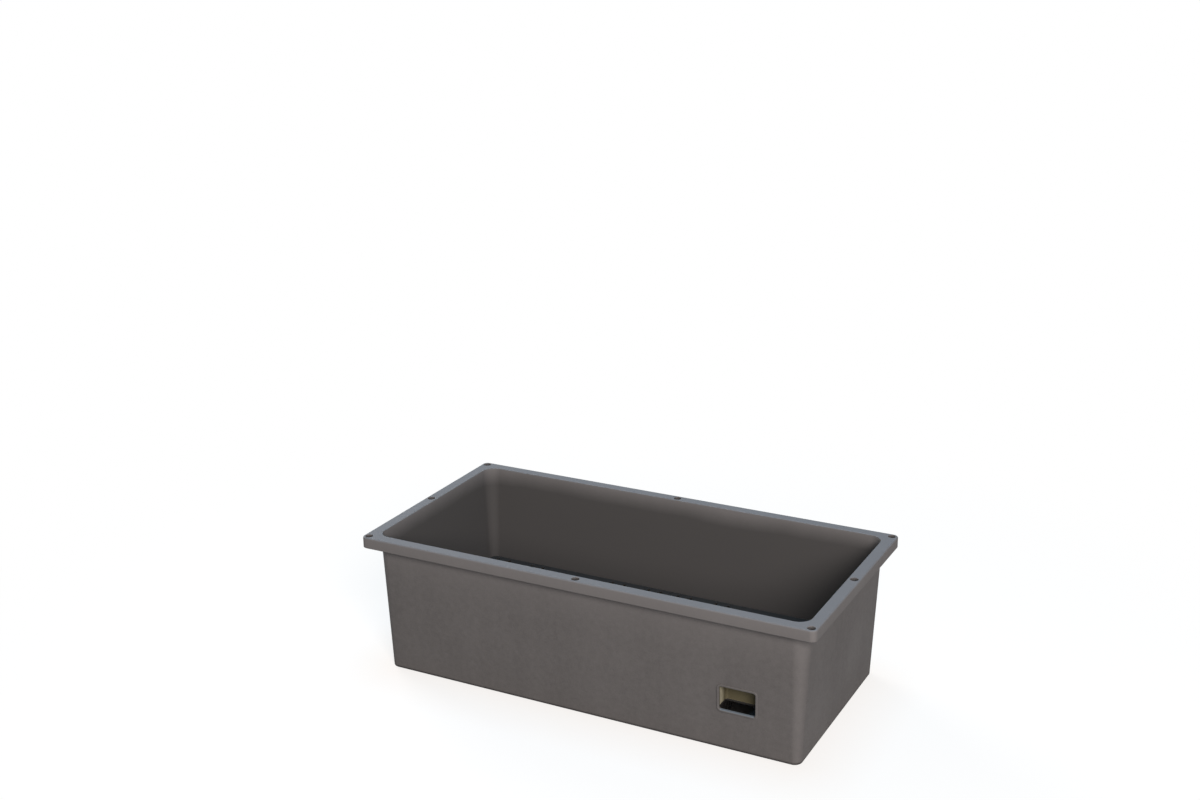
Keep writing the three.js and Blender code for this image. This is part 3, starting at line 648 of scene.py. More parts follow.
def moulded_plastic(name, colour, roughness, gloss, mottle=0.14, worn_highlight=0.35, rim_light=0.0, corner_highlight=0.0,
                    painted_patches=()):
    """Satin moulded plastic with a fine grain and faint flow marks. Its edges are painted a little paler, a
    painted highlight that is partly rubbed wear, and painted shade darkens its corners and its foot. Two
    shares say how far it is painted paler at the height of the rim, painted light where more light falls,
    and how far its upright corners are painted pale, a painted highlight. Each painted patch is a function
    that says where it lies, and its colour."""
    finish = bpy.data.materials.new(name)
    finish.use_nodes = True
    tree = finish.node_tree
    shader = tree.nodes["Principled BSDF"]
    shader.inputs["Specular IOR Level"].default_value = gloss
    on_object = node(tree, "ShaderNodeTexCoord").outputs
    object_place = on_object["Object"]

    def noise(scale, detail, stretch=None):
        place = object_place
        if stretch:
            place = node(tree, "ShaderNodeMapping", {"Vector": place, "Scale": stretch}).outputs[0]
        feeds = {"Vector": place, "Scale": scale, "Detail": detail}
        return node(tree, "ShaderNodeTexNoise", feeds).outputs["Fac"]

    def mixed(factor, first, second):
        # Inputs 6 and 7 and output 2 are the mix node's colours
        feeds = {0: factor, 6: first, 7: second}
        return node(tree, "ShaderNodeMix", feeds, data_type="RGBA").outputs[2]

    def tone(share):
        return (*[min(1, c * share) for c in colour], 1)

    def raised(relief, pattern, normal):
        feeds = {"Strength": relief.strength, "Distance": relief.height, "Height": pattern, "Normal": normal}
        return node(tree, "ShaderNodeBump", feeds).outputs[0]

    cloud = noise(CLOUD_SCALE, detail=4)
    flow = noise(FLOW_SCALE, detail=3, stretch=FLOW_STRETCH)
    fleck = noise(FLECK_SCALE, detail=2)
    blotch = noise(BLOTCH_SCALE, detail=3)
    patches = weighted(tree, (cloud, CLOUD_IN_SHADE), (flow, FLOW_IN_SHADE), (fleck, FLECK_IN_SHADE),
                       (blotch, BLOTCH_IN_SHADE))
    shade = ranged(tree, patches, SHADE_LOW, SHADE_HIGH, 0, 1)
    spot = node(tree, "ShaderNodeSeparateXYZ", {0: object_place}).outputs
    facing = node(tree, "ShaderNodeSeparateXYZ", {0: on_object["Normal"]}).outputs

    def outward(axis):
        return calc(tree, "MAXIMUM", product(tree, facing[axis], calc(tree, "SIGN", spot[axis])), 0)

    # Painted highlight on the upright corners: the product of the two outward parts is a half at most, in
    # the middle of a corner, so it counts twice
    on_corner = product(tree, outward("X"), outward("Y"))
    # Painted light: the plastic is painted paler from one height up to the rim, where more light falls
    climb = ranged(tree, spot["Z"], RIM_LIGHT_START, HEIGHT, 0, 1)
    painted_light = weighted(tree, (product(tree, climb, climb), rim_light), (on_corner, 2 * corner_highlight))
    body_colour = mixed(painted_light, mixed(shade, tone(1 - mottle), tone(1 + mottle)), tone(PAINTED_LIGHT_TONE))
    # Painted patches of shade and highlight, each where its function says
    for lies, patch_colour in painted_patches:
        body_colour = mixed(lies(Surface(tree, spot, cloud)), body_colour, (*patch_colour, 1))

    # Painted highlight on bent edges, partly rubbed wear: they are painted paler, and polished to a lower
    # roughness
    flat = node(tree, "ShaderNodeNewGeometry").outputs["Normal"]
    rounded = node(tree, "ShaderNodeBevel", {"Radius": WORN_HIGHLIGHT_RADIUS}, samples=EDGE_SAMPLES).outputs[0]
    turned = node(tree, "ShaderNodeVectorMath", {0: flat, 1: rounded}, operation="DOT_PRODUCT")
    on_edge = ranged(tree, turned.outputs["Value"], WORN_HIGHLIGHT_START, WORN_HIGHLIGHT_FULL, 0, 1)
    worn_highlight_edges = product(tree, on_edge, ranged(tree, blotch, SHADE_LOW, SHADE_HIGH, WORN_HIGHLIGHT_LEAST, 1))
    worn_highlit_colour = mixed(product(tree, worn_highlight_edges, worn_highlight), body_colour, tone(WORN_HIGHLIGHT_TONE))
    # Painted shade: the colour darkens where a corner, hole or overhang closes it in
    openness = node(tree, "ShaderNodeAmbientOcclusion", {"Distance": CORNER_SHADE_REACH},
                    samples=CORNER_SHADE_SAMPLES, only_local=True)
    corner_shade = ranged(tree, openness.outputs["AO"], CORNER_SHADE_START, CORNER_SHADE_FULL, 0, CORNER_SHADE_SHARE)
    # Painted shade along the foot, darker towards the bottom
    foot_shade = ranged(tree, spot["Z"], FOOT_SHADE_TOP, FOOT_SHADE_FULL, 0, FOOT_SHADE_SHARE)
    painted_shade = calc(tree, "MAXIMUM", corner_shade, foot_shade)
    tree.links.new(mixed(painted_shade, worn_highlit_colour, tone(SHADED_TONE)), shader.inputs["Base Color"])

    gleam = weighted(tree, (cloud, CLOUD_IN_SHEEN), (fleck, FLECK_IN_SHEEN))
    sheen = ranged(tree, gleam, SHEEN_LOW, SHEEN_HIGH, roughness + SHEEN_SPREAD, roughness - SHEEN_SPREAD)
    polished = calc(tree, "SUBTRACT", sheen, product(tree, worn_highlight_edges, POLISH))
    tree.links.new(polished, shader.inputs["Roughness"])

    soft_edge = node(tree, "ShaderNodeBevel", {"Radius": SOFT_EDGE_RADIUS}, samples=EDGE_SAMPLES)
    swollen = raised(SWELL, noise(SWELL_SCALE, detail=1), soft_edge.outputs[0])
    dimpled = raised(ORANGE_PEEL, blotch, swollen)
    grained = raised(GRAIN, noise(GRAIN_SCALE, detail=2), dimpled)
    tree.links.new(grained, shader.inputs["Normal"])
    return finish


# Charcoal with painted shade inside the tub and a painted highlight on the sill of the port
CHARCOAL = moulded_plastic(
    "charcoal_moulded_plastic", colour=(0.114, 0.103, 0.101), roughness=0.66, gloss=0.12,
    mottle=0.11, worn_highlight=0.5, rim_light=0.72, corner_highlight=0.3,
    painted_patches=((shade_inside, INSIDE_SHADE_COLOUR), (highlight_on_sill, SILL_HIGHLIGHT_COLOUR)),
)
BLACK = moulded_plastic(
    "black_moulded_plastic", colour=(0.0235, 0.021, 0.0195), roughness=0.62, gloss=0.2,
)
# Khaki with painted shade on the back of the hood
KHAKI = moulded_plastic(
    "khaki_moulded_plastic", colour=(0.33, 0.293, 0.21), roughness=0.6, gloss=0.2,
    painted_patches=((shade_in_hood, HOOD_SHADE_COLOUR),),
)


def fit_out(piece, body, slot, *nodes):
    """Shades a finished piece and hangs it on its body in place of its CAD nodes."""
    seal(piece)
    piece.data.shade_smooth()
    piece.data.set_sharp_from_angle(angle=SMOOTH_BELOW)
    even = piece.modifiers.new("even shading", "WEIGHTED_NORMAL")
    even.keep_sharp = True
    shaded = evaluated_mesh(piece)
    piece.modifiers.remove(even)
    rough = piece.data
    piece.data = shaded
    bpy.data.meshes.remove(rough)
    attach(piece, body)
    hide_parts(*nodes)


# Tub


def tub_shell():
    """One profile carried round the box: under it, up its outside, over its rim and down its inside."""
    base = BASE_EDGE_RADIUS
    root = RIM_ROOT_RADIUS
    under_rim = HEIGHT - RIM_THICKNESS
    lip = HEIGHT - RIM_SKIRT + RIM_LIP_RADIUS
    return lofted("tub", capped([
        wall_section(FOOT_HEIGHT, base + FOOT_WIDTH),
        wall_section(0, base + FOOT_WIDTH),
        *edge_arc(wall_section, base, base, base, -QUARTER, 0),
        *edge_arc(wall_section, -root, under_rim - root, root, 2 * QUARTER, QUARTER),
        *edge_arc(rim_section, RIM_THICKNESS + root, under_rim - root, root, QUARTER, 0),
        *edge_arc(rim_section, RIM_THICKNESS - RIM_LIP_RADIUS, lip, RIM_LIP_RADIUS, -2 * QUARTER, -QUARTER),
        *edge_arc(rim_section, RIM_LIP_RADIUS, lip, RIM_LIP_RADIUS, -QUARTER, 0),
        *edge_arc(rim_section, RIM_EDGE_RADIUS, HEIGHT - RIM_EDGE_RADIUS, RIM_EDGE_RADIUS, 0, QUARTER),
        *edge_arc(wall_section, WALL - RIM_LIP_RADIUS, HEIGHT - RIM_LIP_RADIUS, RIM_LIP_RADIUS,
                  QUARTER, 2 * QUARTER),
        *edge_arc(wall_section, WALL + FLOOR_EDGE_RADIUS, FLOOR_LEVEL + FLOOR_EDGE_RADIUS,
                  FLOOR_EDGE_RADIUS, 0, -QUARTER),
    ]), CHARCOAL, BOX_CORNER_STEPS)


def port_frame():
    """Raised frame round the port with a sleeve through the wall."""
    edge = PORT_FRAME_EDGE_RADIUS
    crown = PORT_FRAME_PROUD - edge
    back = PORT_SLEEVE_SET_BACK - WALL
    root = -WALL / 2
    sleeve = PORT_FRAME_WIDTH - PORT_SLEEVE_WALL
    section = rectangle(PORT_WIDTH / 2 + PORT_FRAME_WIDTH, PORT_HEIGHT / 2 + PORT_FRAME_WIDTH,
                        PORT_CORNER_RADIUS + PORT_FRAME_WIDTH)
    ring = [
        section(root),
        *edge_arc(section, edge, crown, edge, 0, QUARTER),
        *edge_arc(section, PORT_FRAME_WIDTH - edge, crown, edge, QUARTER, 2 * QUARTER),
        section(back, PORT_FRAME_WIDTH),
        section(back, sleeve),
        section(root, sleeve),
    ]
    return lofted("port_frame", ring + ring[:1], CHARCOAL, place=on_front_wall(PORT_X, PORT_Z))


def rim_hole_places():
    """One hole at each corner of the rim and one in the middle of each side."""
    x = HALF_LENGTH - RIM_HOLE_INSET
    y = HALF_WIDTH - RIM_HOLE_INSET
    return [(x, y), (0, y), (-x, y), (-x, 0), (-x, -y), (0, -y), (x, -y), (x, 0)]


def gusset_places(bottom):
    """Gussets that tie the skirt of the rim to the wall, each turned to run across the rim."""
    wall = wall_section(bottom, WALL / 2)
    rim = rim_section(bottom, RIM_THICKNESS / 2)
    long_side = spread(2 * (wall.x - wall.corner), GUSSET_THICKNESS, GUSSET_PITCH)
    short_side = spread(2 * (wall.y - wall.corner), GUSSET_THICKNESS, GUSSET_PITCH)
    along = [(x, side * (wall.y + rim.y) / 2) for side in (-1, 1) for x in long_side]
    across = [(side * (wall.x + rim.x) / 2, y, QUARTER) for side in (-1, 1) for y in short_side]
    return along + across


def seat_rib(size):
    """Rib that stands against the wall on the +X side and carries the platform's edge: size is x or y."""
    top = SCREEN_BOTTOM - SEAT_GAP
    bottom = FLOOR_LEVEL - WALL / 2
    face = getattr(wall_section(top, WALL), size) - SEAT_RIB_DEPTH
    side = [
        (face, bottom),
        (getattr(wall_section(bottom, WALL / 2), size), bottom),
        (getattr(wall_section(top, WALL / 2), size), top),
        (face, top),
    ]
    half = SEAT_RIB_THICKNESS / 2
    points = [(x, y, z) for y in (-half, half) for x, z in side]
    faces = [(0, 1, 2, 3), (7, 6, 5, 4), (0, 4, 5, 1), (1, 5, 6, 2), (2, 6, 7, 3), (3, 7, 4, 0)]
    rib = mesh_object("seat_rib", points, faces)
    seal(rib)
    return rib


def tub():
    """Box with its port, gussets, ribs, bosses and rim holes."""
    body = tub_shell()
    port = rectangle(PORT_WIDTH / 2 + PORT_SLEEVE_WALL / 2, PORT_HEIGHT / 2 + PORT_SLEEVE_WALL / 2,
                     PORT_CORNER_RADIUS)
    wall_frame = on_front_wall(PORT_X, PORT_Z)
    cut(body, lofted("port_cut", straight(port, -2 * WALL, 2 * WALL), CHARCOAL, place=wall_frame))
    join(body, port_frame())

    gusset_bottom = HEIGHT - RIM_SKIRT + 2 * RIM_LIP_RADIUS
    rim_middle = HEIGHT - RIM_THICKNESS / 2
    reach = rim_section(0, RIM_THICKNESS / 2).x - wall_section(gusset_bottom, WALL / 2).x
    gusset = straight(block(GUSSET_THICKNESS / 2, reach / 2), gusset_bottom, rim_middle)
    join(body, lofted("gusset", gusset, CHARCOAL, BLOCK_CORNER_STEPS), gusset_places(gusset_bottom))

    columns = [side * (SCREEN_MIDDLE + k * LEG_SPREAD) for k in (-1, 0, 1) for side in (-1, 1)]
    beside_port = [x for x in columns if abs(x - PORT_X) > PORT_WIDTH / 2 + PORT_FRAME_WIDTH]
    back_and_front = [(x, 0, QUARTER) for x in columns] + [(x, 0, -QUARTER) for x in beside_port]
    ends = [(0, side * BASKET_Y, turn) for side in (-1, 1) for turn in (0, 2 * QUARTER)]
    join(body, seat_rib("y"), back_and_front)
    join(body, seat_rib("x"), ends)

    foot = wall_section(0, BASE_EDGE_RADIUS + FOOT_WIDTH / 2)
    base_rib = straight(block(BASE_RIB_WIDTH / 2, foot.y), BASE_RIB_RISE, FLOOR_LEVEL - WALL / 2)
    base_places = [(x, 0) for x in spread(2 * foot.x, BASE_RIB_WIDTH, BASE_RIB_PITCH)]
    join(body, lofted("base_rib", base_rib, CHARCOAL, BLOCK_CORNER_STEPS), base_places)

    hole = round_bar(RIM_HOLE_DIAMETER / 2)
    boss = straight(round_bar(RIM_HOLE_DIAMETER / 2 + RIM_BOSS_WALL), HEIGHT - RIM_BOSS_DEPTH, rim_middle)
    join(body, lofted("rim_boss", boss, CHARCOAL), rim_hole_places())
    hole_cut = flared(hole, HEIGHT - RIM_SKIRT, HEIGHT, RIM_HOLE_MOUTH)
    cut(body, lofted("rim_hole", hole_cut, CHARCOAL), rim_hole_places())
    fit_out(body, "box", "box_plastic", "planter_box")


# Platform


def slot_places(has_hood):
    """Slots wherever they clear the edge, the ribs, the baskets, the leg sockets and the hood."""
    basket_half = BASKET_MOUTH / 2 + BASKET_FLANGE_WIDTH
    hood_rim = HOOD_WALL + HOOD_FLANGE_WIDTH
    keep_out = [(SCREEN_MIDDLE, side * BASKET_Y, basket_half, basket_half) for side in (-1, 1)]
    keep_out += [(x, y, SOCKET_RADIUS, SOCKET_RADIUS) for x, y in LEG_PLACES]
    keep_out += [
        (SCREEN_MIDDLE + side * LEG_SPREAD, 0, SCREEN_WALL / 2, SCREEN_HALF_WIDTH) for side in (-1, 1)
    ]
    if has_hood:
        keep_out.append((PORT_X, HOOD_BACK, HOOD_HALF_WIDTH + hood_rim, hood_rim))

    def is_clear(x, y):
        return all(
            abs(x - at_x) > half_x + SLOT_WIDTH / 2 + SLOT_MARGIN
            or abs(y - at_y) > half_y + SLOT_LENGTH / 2 + SLOT_MARGIN
            for at_x, at_y, half_x, half_y in keep_out
        )

    columns = spread(SCREEN_END - SCREEN_START - 2 * SLOT_EDGE, SLOT_WIDTH, SLOT_WIDTH + SLOT_BAR)
    rows = [(k - (SLOT_ROWS - 1) / 2) * SLOT_ROW_PITCH for k in range(SLOT_ROWS)]
    spots = [(SCREEN_MIDDLE + x, y) for x in columns for y in rows]
    return [(x, y) for x, y in spots if is_clear(x, y)]


def platform_half(name, has_hood):
    """One half of the platform from the seam along +X: a ribbed plate with sockets, collars and slots."""
    plate = rectangle(SCREEN_END, SCREEN_HALF_WIDTH, SCREEN_CORNER_RADIUS)
    edge = SCREEN_EDGE_RADIUS
    half = lofted(name, capped([
        plate(SCREEN_UNDERSIDE, SCREEN_WALL),
        plate(SCREEN_BOTTOM, SCREEN_WALL),
        plate(SCREEN_BOTTOM),
        *edge_arc(plate, edge, SCREEN_TOP - edge, edge, 0, QUARTER),
    ]), BLACK)
    below = SCREEN_BOTTOM - OVERCUT
    above = SCREEN_TOP + OVERCUT
    lap = SCREEN_UNDERSIDE + SCREEN_THICKNESS / 2
    other_half = straight(block(HALF_LENGTH, HALF_WIDTH), below, above)
    cut(half, lofted("other_half", other_half, BLACK, BLOCK_CORNER_STEPS),
        [(SCREEN_START - HALF_LENGTH, 0)])

    across = SCREEN_HALF_WIDTH - SCREEN_WALL / 2
    seam_wall = straight(block(SCREEN_WALL / 2, across), SCREEN_BOTTOM, lap)
    join(half, lofted("seam_wall", seam_wall, BLACK, BLOCK_CORNER_STEPS),
         [(SCREEN_START + SCREEN_WALL / 2, 0)])
    rib = straight(block(SCREEN_WALL / 2, across), SCREEN_BOTTOM + SCREEN_RIB_RISE, lap)
    join(half, lofted("platform_rib", rib, BLACK, BLOCK_CORNER_STEPS),
         [(SCREEN_MIDDLE + side * LEG_SPREAD, 0) for side in (-1, 1)])
    socket = straight(round_bar(SOCKET_RADIUS), SCREEN_BOTTOM, lap)
    join(half, lofted("leg_socket", socket, BLACK), LEG_PLACES)
    baskets = [(SCREEN_MIDDLE, side * BASKET_Y) for side in (-1, 1)]
    opening_half = BASKET_OPENING / 2
    corner = BASKET_CORNER_RADIUS + SLIDE_GAP
    collar = rectangle(opening_half + SCREEN_WALL, opening_half + SCREEN_WALL, corner + SCREEN_WALL)
    join(half, lofted("basket_collar", straight(collar, SCREEN_BOTTOM, lap), BLACK), baskets)

    bore = straight(round_bar(SOCKET_BORE_RADIUS), below, SCREEN_UNDERSIDE)
    cut(half, lofted("socket_bore", bore, BLACK), LEG_PLACES)
    opening = rectangle(opening_half, opening_half, corner)
    cut(half, lofted("basket_opening", flared(opening, below, SCREEN_TOP, SLOT_MOUTH), BLACK), baskets)
    slot = rectangle(SLOT_WIDTH / 2, SLOT_LENGTH / 2, SLOT_WIDTH / 2)
    slot_cut = flared(slot, SCREEN_UNDERSIDE - OVERCUT, SCREEN_TOP, SLOT_MOUTH)
    cut(half, lofted("slot", slot_cut, BLACK), slot_places(has_hood))
    if has_hood:
        cut_for_hood(half, below, above)
    return half


def cut_for_hood(half, below, above):
    """Notch under the hood, room for its flange's rim below the plate and holes for its pegs."""
    front = -SCREEN_HALF_WIDTH - OVERCUT
    rim = HOOD_WALL + HOOD_FLANGE_WIDTH
    notch = straight(block(HOOD_HALF_WIDTH, (HOOD_BACK - front) / 2), below, above)
    cut(half, lofted("hood_notch", notch, BLACK, BLOCK_CORNER_STEPS), [(PORT_X, (front + HOOD_BACK) / 2)])
    relief = straight(block(HOOD_HALF_WIDTH + rim, (HOOD_BACK + rim - front) / 2), below, SCREEN_UNDERSIDE)
    cut(half, lofted("hood_relief", relief, BLACK, BLOCK_CORNER_STEPS),
        [(PORT_X, (front + HOOD_BACK + rim) / 2)])
    peg_hole = straight(round_bar(HOOD_PEG_DIAMETER / 2 + SLIDE_GAP), SCREEN_UNDERSIDE - OVERCUT, above)
    cut(half, lofted("peg_hole", peg_hole, BLACK),
        [(PORT_X + side * HOOD_PEG_X, HOOD_PEG_Y) for side in (-1, 1)])


def leg():
    """Hollow tapered post on a broad foot, with a spigot for the socket of the platform."""
    spigot = LEG_SPIGOT_DIAMETER / 2
    shoulder = spigot + LEG_SHOULDER
    foot = LEG_FOOT_DIAMETER / 2
    shoulder_level = SCREEN_BOTTOM - SEAT_GAP
    edge = LEG_EDGE_RADIUS
    foot_top = LEG_BOTTOM + LEG_FOOT_THICKNESS

    def ring(z, radius):
        return Section(radius, radius, z, radius)

    def foot_ring(z, inset):
        return ring(z, foot - inset)

    post = lofted("leg", capped([
        ring(LEG_TOP - LEG_WALL, spigot - LEG_WALL),
        ring(shoulder_level - LEG_WALL, spigot - LEG_WALL),
        ring(LEG_BOTTOM, shoulder + LEG_TAPER - LEG_WALL),
        *edge_arc(foot_ring, edge, LEG_BOTTOM + edge, edge, -QUARTER, 0),
        *edge_arc(foot_ring, edge, foot_top - edge, edge, 0, QUARTER),
        ring(foot_top + LEG_FOOT_THICKNESS, shoulder + LEG_TAPER),
        ring(shoulder_level - edge, shoulder),
        ring(shoulder_level, shoulder - edge),
        ring(shoulder_level, spigot),
        ring(LEG_TOP - LEG_CHAMFER, spigot),
        ring(LEG_TOP, spigot - LEG_CHAMFER),
    ]), BLACK)
    drain = block((LEG_FOOT_DIAMETER + OVERCUT) / 2, LEG_DRAIN_WIDTH / 2)
    drain_cut = straight(drain, LEG_BOTTOM - OVERCUT, LEG_BOTTOM + LEG_FOOT_THICKNESS / 2)
    cut(post, lofted("leg_drain", drain_cut, BLACK, BLOCK_CORNER_STEPS))
    return post


def leg_set(name, side):
    """The legs of one half of the platform, as one piece."""
    places = [middle(leg_name) for leg_name in leg_names(side)]
    legs = mesh_object(name, [(x, y, 0) for x, y in places], values={"turn": [0] * len(places)})
    post = leg()
    grow(legs, COPIES, {"Piece": post, "Finish": BLACK})
    discard(post)
    return legs


def basket(name, x, y):
    """Drafted square cup with slotted walls, hung by its flange."""
    seat = BASKET_TOP - BASKET_FLANGE_THICKNESS
    flare = (BASKET_MOUTH - BASKET_BASE) / (2 * (seat - BASKET_BOTTOM))
    edge = BASKET_EDGE_RADIUS
    lip = BASKET_LIP_RADIUS

    def section(z, inset=0):
        half = BASKET_BASE / 2 + flare * (z - BASKET_BOTTOM) - inset
        return Section(half, half, z, BASKET_CORNER_RADIUS - inset)

    cup = lofted(name, capped([
        *edge_arc(section, edge, BASKET_BOTTOM + edge, edge, -QUARTER, 0),
        section(seat),
        *edge_arc(section, lip - BASKET_FLANGE_WIDTH, seat + lip, lip, -QUARTER, 0),
        *edge_arc(section, lip - BASKET_FLANGE_WIDTH, BASKET_TOP - lip, lip, 0, QUARTER),
        *edge_arc(section, BASKET_WALL - lip, BASKET_TOP - lip, lip, QUARTER, 2 * QUARTER),
        section(BASKET_BOTTOM + BASKET_WALL, BASKET_WALL),
    ]), BLACK)
    low = BASKET_BOTTOM + BASKET_SLOT_MARGIN
    high = SCREEN_BOTTOM - BASKET_SLOT_MARGIN / 2
    floor_slot = BASKET_BASE - 2 * BASKET_SLOT_MARGIN
    columns = spread(floor_slot, BASKET_SLOT_WIDTH, BASKET_SLOT_WIDTH + BASKET_SLOT_BAR)
    half_slot = BASKET_SLOT_WIDTH / 2
    wall_slot = straight(block(BASKET_MOUTH / 2 + BASKET_FLANGE_WIDTH, half_slot), low, high)
    cut(cup, lofted("wall_slot", wall_slot, BLACK, BLOCK_CORNER_STEPS), [(0, c) for c in columns])
    cut(cup, lofted("wall_slot", wall_slot, BLACK, BLOCK_CORNER_STEPS), [(c, 0, QUARTER) for c in columns])
    bottom_slot = straight(rectangle(half_slot, floor_slot / 2, half_slot),
                           BASKET_BOTTOM - OVERCUT, BASKET_BOTTOM + 2 * BASKET_WALL)
    cut(cup, lofted("bottom_slot", bottom_slot, BLACK), [(c, 0) for c in columns])
    cup.data.transform(Matrix.Translation((x, y, 0)))
    return cup


def port_hood():
    """Pocket open to the front and below, on a flange that pegs into the platform."""
    inside = rectangle(HOOD_HALF_WIDTH, HOOD_DEPTH, HOOD_CORNER_RADIUS)
    centre = Matrix.Translation((PORT_X, HOOD_BACK - HOOD_DEPTH, 0))
    edge = HOOD_EDGE_RADIUS
    lip = HOOD_LIP_RADIUS
    flange_out = -HOOD_WALL - HOOD_FLANGE_WIDTH
    flange_top = HOOD_BOTTOM + HOOD_FLANGE_THICKNESS
    hood = lofted("port_hood_shell", capped([
        inside(HOOD_BOTTOM, flange_out),
        *edge_arc(inside, flange_out + lip, flange_top - lip, lip, 0, QUARTER),
        *edge_arc(inside, -HOOD_WALL - lip, flange_top + lip, lip, -QUARTER, -2 * QUARTER),
        *edge_arc(inside, edge - HOOD_WALL, HOOD_TOP - edge, edge, 0, QUARTER),
    ]), KHAKI, place=centre)
    pocket = capped([
        inside(HOOD_BOTTOM - OVERCUT),
        *edge_arc(inside, lip, HOOD_TOP - HOOD_WALL - lip, lip, 0, QUARTER),
    ])
    cut(hood, lofted("pocket", pocket, KHAKI, place=centre))
    peg_top = HOOD_BOTTOM + HOOD_FLANGE_THICKNESS / 2
    peg = straight(round_bar(HOOD_PEG_DIAMETER / 2), HOOD_PEG_BOTTOM, peg_top)
    join(hood, lofted("peg", peg, KHAKI), [(PORT_X + side * HOOD_PEG_X, HOOD_PEG_Y) for side in (-1, 1)])
    front = straight(block(HALF_LENGTH, HALF_WIDTH), -WALL - SLIDE_GAP, HALF_WIDTH)
    trim = lofted("front_trim", front, KHAKI, BLOCK_CORNER_STEPS, on_front_wall(PORT_X, PORT_Z))
    cut(hood, trim)
    return hood


def insert(side, has_hood):
    """One half of the platform with its legs and baskets."""
    half = platform_half(f"platform_{side}", has_hood)
    if side == "left":
        half.data.transform(Matrix.Rotation(2 * QUARTER, 4, "Z"))
    fit_out(half, f"{side}_insert", "insert_plastic", f"screen_{side}")
    legs = leg_set(f"legs_{side}", side)
    fit_out(legs, f"{side}_insert", "insert_plastic", *leg_names(side))
    for row in ("front", "back"):
        cup = basket(f"basket_cup_{side}_{row}", *middle(f"basket_{side}_{row}"))
        fit_out(cup, f"{side}_{row}_basket", "insert_plastic", f"basket_{side}_{row}")


tub()
insert("left", False)
insert("right", True)
fit_out(port_hood(), "right_insert", "hood_plastic", "port_hood")

# Floor, light and camera

FLOOR_SIZE = 60.0
FLOOR_BELOW = 0.2 * MM
FLOOR_GLOW = 0.73
FLOOR_TONE = (0.275, 0.236, 0.21, 1)
FLOOR_BOUNCE = (0.16, 0.16, 0.16, 1)
SHADOW_REACH = 0.5
SHADOW_END = 1.3
WHITE = (1, 1, 1, 1)
SKY_COLOUR = (0.85, 1.0, 0.88, 1)
SKY_STRENGTH = 0.15
BOX_MIDDLE = Vector((0, 0, HEIGHT / 2))

# Light panels: place, size of the square, power in watts and colour
PANELS = {
    "key_panel": ((3.11, -4.29, 2.94), 2.4, 405, (1.0, 0.97, 0.95)),
    "top_panel": ((0.0, 0.3, 4.7), 2.2, 135, (0.3, 0.64, 1.0)),
    "back_panel": ((-4.01, 2.32, 1.99), 2.5, 150, (0.97, 0.98, 1.0)),
}


def pale_floor():
    """Floor that the camera sees as white with a soft shadow, and that throws a pale light back."""
    half = FLOOR_SIZE / 2
    corners = [(-half, -half), (half, -half), (half, half), (-half, half)]
    floor = mesh_object("floor", [(x, y, -FLOOR_BELOW) for x, y in corners], [(0, 1, 2, 3)])
    finish = bpy.data.materials.new("pale_floor")
    finish.use_nodes = True
    tree = finish.node_tree
    tree.nodes.clear()
    shown = node(tree, "ShaderNodeBsdfDiffuse", {"Color": FLOOR_TONE})
    glow = node(tree, "ShaderNodeEmission", {"Strength": FLOOR_GLOW})
    shadowed = node(tree, "ShaderNodeAddShader", {0: shown.outputs[0], 1: glow.outputs[0]})
    place = node(tree, "ShaderNodeTexCoord").outputs["Object"]
    distance = node(tree, "ShaderNodeVectorMath", {0: place}, operation="LENGTH").outputs["Value"]
    away = ranged(tree, distance, SHADOW_REACH, SHADOW_END, 0, 1, interpolation_type="SMOOTHSTEP")
    white = node(tree, "ShaderNodeEmission", {"Strength": 1})
    fading = node(tree, "ShaderNodeMixShader", {0: away, 1: shadowed.outputs[0], 2: white.outputs[0]})
    bounce = node(tree, "ShaderNodeBsdfDiffuse", {"Color": FLOOR_BOUNCE})
    shown_or_lit = {0: seen_rays(tree), 1: bounce.outputs[0], 2: fading.outputs[0]}
    either = node(tree, "ShaderNodeMixShader", shown_or_lit)
    node(tree, "ShaderNodeOutputMaterial", {"Surface": either.outputs[0]})
    floor.data.materials.append(finish)


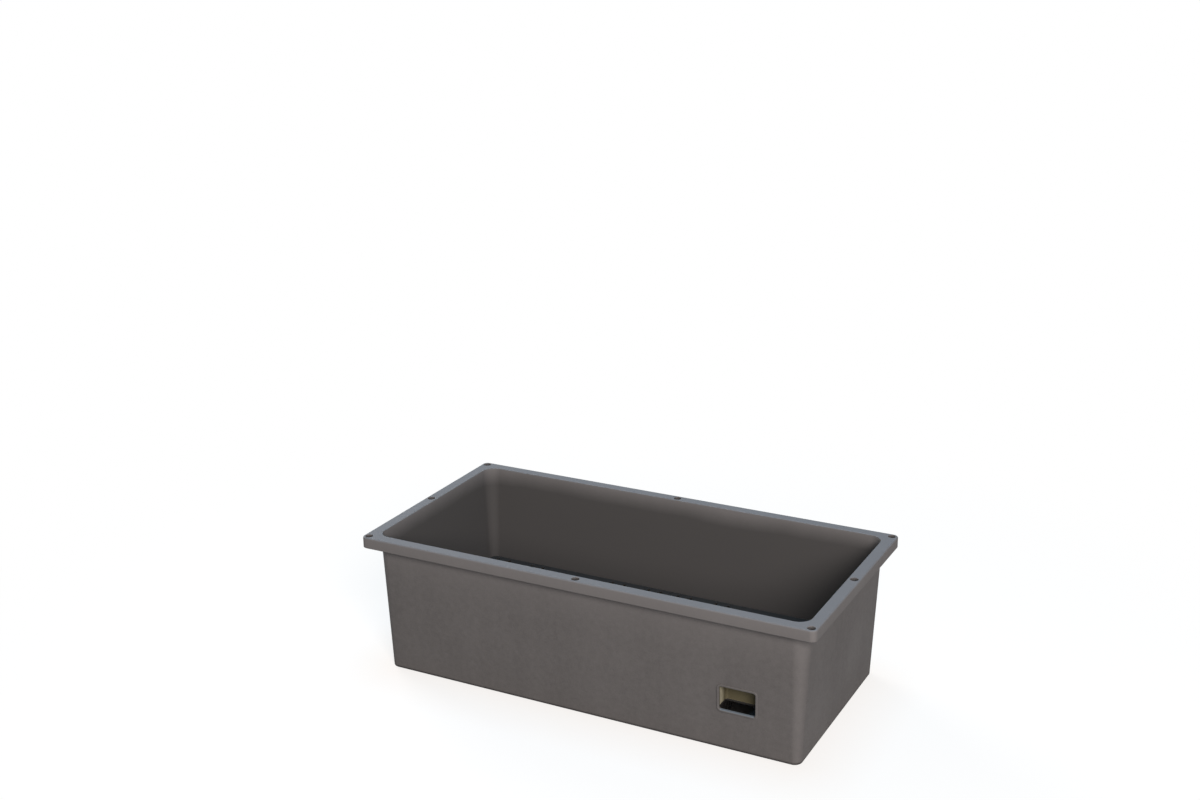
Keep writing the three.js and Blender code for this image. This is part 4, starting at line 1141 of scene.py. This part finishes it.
def seen_rays(tree):
    """One for rays that show a surface to the camera, straight or through gloss or glass."""
    path = node(tree, "ShaderNodeLightPath").outputs
    shown = calc(tree, "MAXIMUM", path["Is Camera Ray"], path["Is Glossy Ray"])
    return calc(tree, "MAXIMUM", shown, path["Is Transmission Ray"])


def studio_sky():
    """World that is white to the camera and lights the object evenly."""
    world = bpy.data.worlds.new("studio_sky")
    world.use_nodes = True
    tree = world.node_tree
    tree.nodes.clear()
    light = node(tree, "ShaderNodeBackground", {"Color": SKY_COLOUR, "Strength": SKY_STRENGTH})
    white = node(tree, "ShaderNodeBackground", {"Color": WHITE, "Strength": 1})
    shown_or_lit = {0: seen_rays(tree), 1: light.outputs[0], 2: white.outputs[0]}
    either = node(tree, "ShaderNodeMixShader", shown_or_lit)
    node(tree, "ShaderNodeOutputWorld", {"Surface": either.outputs[0]})
    bpy.context.scene.world = world


def soft_panel(name, place, size, power, colour):
    """Square light panel that faces the middle of the box."""
    lamp = bpy.data.lights.new(name, "AREA")
    lamp.shape = "SQUARE"
    lamp.size = size
    lamp.energy = power
    lamp.color = colour
    panel = bpy.data.objects.new(name, lamp)
    panel.location = place
    panel.rotation_euler = (BOX_MIDDLE - Vector(place)).to_track_quat("-Z", "Y").to_euler()
    panel.visible_camera = False
    bpy.context.scene.collection.objects.link(panel)


pale_floor()
studio_sky()
for panel_name, panel in PANELS.items():
    soft_panel(panel_name, *panel)

CAMERA_PLACE = (1.10459, -2.21386, 1.29051)
CAMERA_AZIMUTH = math.radians(27.5934)
CAMERA_ELEVATION = math.radians(18.0798)
CAMERA_ROLL = math.radians(-0.5790)
CAMERA_LENS = 48.3767
CAMERA_SENSOR = 36

lens = bpy.data.cameras.new("camera")
lens.lens = CAMERA_LENS
lens.sensor_width = CAMERA_SENSOR
camera = bpy.data.objects.new("camera", lens)
camera.matrix_world = (
    Matrix.Translation(CAMERA_PLACE)
    @ Matrix.Rotation(CAMERA_AZIMUTH, 4, "Z")
    @ Matrix.Rotation(QUARTER - CAMERA_ELEVATION, 4, "X")
    @ Matrix.Rotation(CAMERA_ROLL, 4, "Z")
)
bpy.context.scene.collection.objects.link(camera)
bpy.context.scene.camera = camera
bpy.context.scene.view_settings.view_transform = "Standard"
